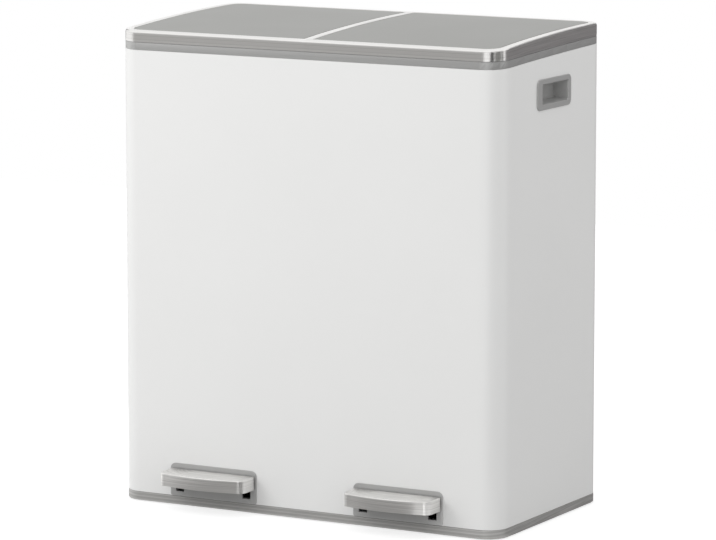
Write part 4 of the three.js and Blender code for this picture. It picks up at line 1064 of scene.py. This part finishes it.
@dataclass
class Lid:
    """One lid: a folded panel over a moulded liner, with its hinge rod and crank pin."""

    side: Side
    skirt: float = 8 * MM
    sheet: float = 1.5 * MM
    edge_round: float = 1.1 * MM
    outer_corner: float = 16.8 * MM
    inner_corner: float = 3.5 * MM
    outer_steps: int = 10
    inner_steps: int = 4
    edge_steps: int = 4
    long_edge: float = 100 * MM

    def build_panel(self) -> Piece:
        """Fold the panel on the right side of the bin.

        Returns:
            The panel on the right.
        """
        low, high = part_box("lid_panel_right")
        panel = block(
            "lid_right", (low.x, low.y, TOP.rim_top - self.skirt), (high.x, high.y, TOP.rim_top)
        )
        middle = (low.x + high.x) / 2
        for outer, radius, steps in (
            (True, self.outer_corner, self.outer_steps),
            (False, self.inner_corner, self.inner_steps),
        ):
            round_edges(
                panel,
                lambda a, b: abs(a.z - b.z) > self.skirt / 2 and (a.x > middle) == outer
                and min(abs(a.y - low.y), abs(a.y - high.y)) < NEAR
                and min(abs(a.x - low.x), abs(a.x - high.x)) < NEAR,
                radius,
                steps,
            )
        remove_faces(panel, facing(Axis.Z, -1))
        slice_across(panel, Axis.Y, rows(low.y, high.y, self.outer_corner))
        shift_rows(panel, Axis.Y, Axis.Z, anything, TOP.lifted)

        def on_edge(place: Vector) -> bool:
            """Whether a point is on the panel's upper edge."""
            radius = self.outer_corner if place.x > middle else self.inner_corner
            return Outline(low, high, radius).has(place.x, place.y) and TOP.has(place)

        round_edges(
            panel,
            lambda a, b: on_edge(a) and on_edge(b) and not self.crosses(a, b, low.y, high.y),
            self.edge_round,
            self.edge_steps,
        )
        thicken(panel, self.sheet)
        smooth(panel)
        return panel

    def crosses(self, a: Vector, b: Vector, front: float, back: float) -> bool:
        """Whether an edge of the panel's top runs from one side to the other, between its ends."""
        return abs(a.x - b.x) > self.long_edge and front + ROW_GAP < a.y < back - ROW_GAP

    def build(self) -> None:
        """Build and dress the lid."""
        body = f"lid_{self.side.word}"
        panel = self.build_panel()
        if self.side is Side.LEFT:
            panel = flipped(panel, "lid_left")
        seat(panel, LID_LACQUER, body, f"lid_panel_{self.side.word}")
        cast(f"lid_liner_{self.side.word}", DARK_POLYPROPYLENE, body)
        cast(f"crank_pin_{self.side.word}", ZINC_PLATE, body)
        cast(f"hinge_rod_{self.side.word}", ZINC_PLATE, "cabinet")


# ---- Pedals and push rods -------------------------------------------------------------------


@dataclass
class Pedal:
    """One pedal: a stainless cap on a moulded core, its steel lever, its bezel and its axle."""

    side: Side
    bow: float = 6 * MM
    corner: float = 11 * MM
    sheet: float = 1.0 * MM
    edge_round: float = 2.2 * MM
    top_slope: float = 1.2 * MM
    corner_steps: int = 10
    edge_steps: int = 5
    bow_steps: int = 16

    def build_cap(self) -> Piece:
        """Fold the stainless cap on the right side of the bin.

        Returns:
            The cap on the right.
        """
        low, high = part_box("pedal_cap_right")
        shoulder = low.y + self.bow
        middle = (low.x + high.x) / 2
        half = (high.x - low.x) / 2 - self.corner
        cap = block("pedal_cap_made_right", (low.x, shoulder, low.z), high)
        round_edges(
            cap,
            lambda a, b: abs(a.z - b.z) > self.corner and a.y < shoulder + self.sheet,
            self.corner,
            self.corner_steps,
        )
        for axis, sign in ((Axis.Z, -1), (Axis.Y, 1)):
            remove_faces(cap, facing(axis, sign))
        columns = [middle + half * (2 * i / self.bow_steps - 1) for i in range(self.bow_steps + 1)]
        slice_across(cap, Axis.X, columns)
        shift_rows(
            cap,
            Axis.X,
            Axis.Y,
            lambda place: place.y < shoulder + NEAR and abs(place.x - middle) < half + NEAR,
            lambda place: place.y - self.bow * (1 - ((place.x - middle) / half) ** 2),
        )
        shift_rows(
            cap,
            Axis.Y,
            Axis.Z,
            lambda place: place.z > high.z - self.top_slope - NEAR,
            lambda place: high.z - self.top_slope * (high.y - place.y) / (high.y - low.y),
        )
        round_edges(
            cap,
            lambda a, b: min(a.z, b.z) > high.z - self.top_slope - NEAR
            and min(a.y, b.y) < high.y - NEAR
            and not (abs(a.x - b.x) < NEAR and abs(a.x - middle) < half + NEAR),
            self.edge_round,
            self.edge_steps,
        )
        thicken(cap, self.sheet)
        smooth(cap, ROUND_TURN)

        def inset(place: Vector) -> float:
            """How far inside the cap's bowed outline a point is."""
            across = abs(place.x - middle)
            if across < half:
                front = shoulder - self.bow * (1 - (across / half) ** 2)
            else:
                beyond = min(across - half, self.corner)
                front = shoulder + self.corner - math.sqrt(self.corner**2 - beyond**2)
            return max(0.0, min(place.y - front, half + self.corner - across))

        lay_brush(cap, lambda place: place.x, lambda place: place.z - inset(place))
        return cap

    def build(self) -> None:
        """Build and dress the pedal."""
        word = self.side.word
        body = f"pedal_{word}"
        cap = self.build_cap()
        if self.side is Side.LEFT:
            cap = flipped(cap, "pedal_cap_made_left", ROUND_TURN)
        seat(cap, COARSE_STAINLESS, body, f"pedal_cap_{word}")
        cast(f"pedal_core_{word}", DARK_POLYPROPYLENE, body)
        cast(f"pedal_lever_{word}", ZINC_PLATE, body)
        cast(f"pedal_axle_{word}", ZINC_PLATE, "cabinet")
        cast(f"pedal_bezel_{word}", SATIN_ABS, "cabinet")


@dataclass
class PushRod:
    """One push rod with its slotted yoke, and the guide that keeps it upright."""

    side: Side

    def build(self) -> None:
        """Dress the rod, its yoke and its guide."""
        word = self.side.word
        cast(f"push_rod_{word}", ZINC_PLATE, f"rod_{word}")
        cast(f"rod_yoke_{word}", DARK_POLYPROPYLENE, f"rod_{word}")
        cast(f"rod_guide_{word}", DARK_POLYPROPYLENE, "cabinet")


@dataclass
class Bucket:
    """One lift-out bucket with its wire bail."""

    side: Side

    def build(self) -> None:
        """Dress the bucket and its bail."""
        word = self.side.word
        cast(f"bucket_{word}", DARK_POLYPROPYLENE, "cabinet")
        cast(f"bucket_bail_{word}", ZINC_PLATE, "cabinet")


# ---- Studio ---------------------------------------------------------------------------------


@dataclass(frozen=True)
class Flat:
    """A glowing grey sheet, a painted reflection that only shiny surfaces show.

    It lies on the floor, and its far end stands up. It is laid out in front of the bin, and then
    turned round it by the azimuth. The camera, diffuse light and shadows pass it by.
    """

    name: str
    azimuth_deg: float
    left: float
    right: float
    near: float
    far: float
    height: float
    grey: str


@dataclass
class Studio:
    """A plain white studio: camera, pale floor, soft light from the front left, painted
    reflections.
    """

    focal_px: float = 4380.0
    image_width_px: float = 716.0
    sensor_mm: float = 36.0
    yaw_deg: float = 28.797
    pitch_deg: float = 8.826
    distance: float = 6.0709
    target: Vector = field(default_factory=lambda: Vector((-4.03, 21.7, 323.7)) * MM)
    clip_end: float = 50.0
    floor_half: float = 2.6
    floor_lit: str = "#CFCFCF"
    floor_seen: str = "#B0B0B0"
    floor_glow: float = 0.72
    sky_level: float = 0.9
    sky_tilt: float = 0.06
    sky_towards: Vector = field(default_factory=lambda: Vector((-0.52, -0.76, 0.38)).normalized())
    key_place: Vector = field(default_factory=lambda: Vector((-1.3, -1.7, 1.4)))
    key_size: float = 1.0
    key_power: float = 11.0
    flat_lift: float = 1 * MM
    # Glowing sheets that only reflections show, as painted reflections: the grey ones darken the
    # steel's mirror of the white studio, and the dark ones paint dark lines into it.
    painted_reflections: tuple[Flat, ...] = (
        Flat("front flat", 0.0, -2.7, 0.12, 0.9, 2.2, 1.7, "#A6A5A4"),
        # This one lies on the floor just before the pedals: painted shade in the floor that their
        # fronts mirror.
        Flat("pedal flat", 0.0, -0.43, 0.18, 0.15, 0.9, 0.01, "#888786"),
        # The dark sheets paint the dark lines in the steel's corners and on the left corner of the
        # body.
        Flat("dark front flat", 43.0, -0.26, 0.26, 0.5, 1.8, 1.6, "#202020"),
        Flat("side flat", 69.0, -0.4, 0.4, 0.9, 1.6, 1.6, "#7E7E7C"),
        Flat("dark side flat", 89.5, -0.1, 0.1, 0.9, 1.6, 1.6, "#202020"),
        Flat("back flat", 151.2, -1.5, 0.9, 0.06, 1.6, 1.6, "#7E7C7D"),
        Flat("dark left flat", -119.3, -0.12, 0.12, 0.5, 1.65, 1.6, "#202020"),
    )

    def set_camera(self) -> None:
        """Put the camera at the photograph's viewpoint."""
        yaw, pitch = math.radians(self.yaw_deg), math.radians(self.pitch_deg)
        towards = Vector(
            (math.sin(yaw) * math.cos(pitch), -math.cos(yaw) * math.cos(pitch), math.sin(pitch))
        )
        data = bpy.data.cameras.new("camera")
        data.sensor_fit = "HORIZONTAL"
        data.sensor_width = self.sensor_mm
        data.lens = self.focal_px * self.sensor_mm / self.image_width_px
        data.clip_end = self.clip_end
        camera = bpy.data.objects.new("camera", data)
        camera.location = self.target + towards * self.distance
        camera.rotation_euler = (math.pi / 2 - pitch, 0.0, yaw)
        bpy.context.scene.collection.objects.link(camera)
        bpy.context.scene.camera = camera

    @staticmethod
    def background_rays(tree: Tree) -> Socket:
        """Add the switch for the rays that show the background.

        Args:
            tree: The node tree of the floor or the world.

        Returns:
            A socket that is 1 for camera, glossy and transmission rays and 0 for the others.
        """
        path = add_node(tree, "ShaderNodeLightPath")
        switch = path.outputs["Is Camera Ray"]
        for kind in ("Is Glossy Ray", "Is Transmission Ray"):
            either = {0: switch, 1: path.outputs[kind]}
            switch = add_node(tree, "ShaderNodeMath", either, operation="MAXIMUM").outputs[0]
        return switch

    def lay_floor(self) -> None:
        """Lay the pale floor, white to the camera but for the object's soft shadow."""
        bpy.ops.object.select_all(action="DESELECT")
        bpy.ops.mesh.primitive_plane_add(size=2 * self.floor_half, location=(0, 0, 0))
        floor = bpy.context.object
        floor.name = "floor"
        made = blank_material("white floor")
        tree = made.node_tree
        lit = add_node(tree, "ShaderNodeBsdfDiffuse", {"Color": linear(self.floor_lit)})
        white = add_node(
            tree, "ShaderNodeEmission", {"Color": linear(WHITE), "Strength": self.floor_glow}
        )
        faint = add_node(tree, "ShaderNodeBsdfDiffuse", {"Color": linear(self.floor_seen)})
        seen = add_node(tree, "ShaderNodeAddShader", {0: white.outputs[0], 1: faint.outputs[0]})
        mixed = add_node(
            tree,
            "ShaderNodeMixShader",
            {"Fac": self.background_rays(tree), 1: lit.outputs[0], 2: seen.outputs[0]},
        )
        add_node(tree, "ShaderNodeOutputMaterial", {"Surface": mixed.outputs[0]})
        floor.data.materials.append(made)

    def light_sky(self) -> None:
        """Light from all round, brighter towards the front left, with white behind the object."""
        world = bpy.data.worlds.new("studio")
        bpy.context.scene.world = world
        world.use_nodes = True
        tree = world.node_tree
        tree.nodes.clear()
        towards = add_node(tree, "ShaderNodeTexCoord").outputs["Generated"]
        slope = add_node(
            tree, "ShaderNodeVectorMath", {0: towards, 1: self.sky_towards}, operation="DOT_PRODUCT"
        )
        level = add_node(
            tree,
            "ShaderNodeMath",
            {0: slope.outputs["Value"], 1: self.sky_tilt, 2: self.sky_level},
            operation="MULTIPLY_ADD",
        )
        sky, white = (
            add_node(tree, "ShaderNodeBackground", {"Color": linear(WHITE), "Strength": strength})
            for strength in (level.outputs[0], 1.0)
        )
        mixed = add_node(
            tree,
            "ShaderNodeMixShader",
            {"Fac": self.background_rays(tree), 1: sky.outputs[0], 2: white.outputs[0]},
        )
        add_node(tree, "ShaderNodeOutputWorld", {"Surface": mixed.outputs[0]})

    def stand_painted_reflections(self) -> None:
        """Stand the glowing grey sheets that paint reflections on the steel."""
        for flat in self.painted_reflections:
            sheet = self.fold_flat(flat)
            made = blank_material(flat.name)
            # Each sheet glows with its grey though it is no lamp: this is the painted reflection.
            grey = add_node(made.node_tree, "ShaderNodeEmission", {"Color": linear(flat.grey)})
            add_node(made.node_tree, "ShaderNodeOutputMaterial", {"Surface": grey.outputs[0]})
            made.cycles.emission_sampling = "NONE"
            sheet.data.materials.append(made)
            sheet.visible_camera = False
            sheet.visible_diffuse = False
            sheet.visible_shadow = False

    def fold_flat(self, flat: Flat) -> Piece:
        """Lay one flat just above the floor, fold its far end up and turn it round the bin.

        Args:
            flat: The flat to make.

        Returns:
            The flat, with no material yet.
        """
        bpy.ops.object.select_all(action="DESELECT")
        bpy.ops.mesh.primitive_plane_add(size=1)
        sheet = bpy.context.object
        sheet.name = flat.name
        sheet.scale = (flat.right - flat.left, flat.far - flat.near, 1)
        across, out = (flat.left + flat.right) / 2, (flat.near + flat.far) / 2
        sheet.location = (across, -out, self.flat_lift)
        bpy.ops.object.transform_apply(location=True, rotation=False, scale=True)
        extrude(
            sheet,
            Part.EDGE,
            both(lambda p: p.y < CLOSE - flat.far),
            Vector((0, 0, flat.height)),
        )
        sheet.rotation_euler.z = math.radians(flat.azimuth_deg)
        bpy.ops.object.transform_apply(location=False, rotation=True, scale=False)
        return sheet

    def add_key(self) -> None:
        """Add the large soft lamp at the front left."""
        data = bpy.data.lights.new("key", "AREA")
        data.size = self.key_size
        data.energy = self.key_power
        lamp = bpy.data.objects.new("key", data)
        lamp.location = self.key_place
        aim = self.target - self.key_place
        lamp.rotation_euler = aim.to_track_quat("-Z", "Y").to_euler()
        lamp.visible_glossy = False
        bpy.context.scene.collection.objects.link(lamp)

    def build(self) -> None:
        """Set up the whole studio."""
        bpy.context.scene.view_settings.view_transform = "Standard"
        self.set_camera()
        self.lay_floor()
        self.light_sky()
        self.stand_painted_reflections()
        self.add_key()


def main() -> None:
    """Build the studio and every sub-assembly."""
    logging.basicConfig(level=logging.INFO, format="%(name)s: %(message)s")
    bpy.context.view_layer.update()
    Studio().build()
    Cabinet().build()
    for side in Side:
        Lid(side).build()
        Pedal(side).build()
        PushRod(side).build()
        Bucket(side).build()
    bpy.context.view_layer.update()


if __name__ == "__main__":
    main()
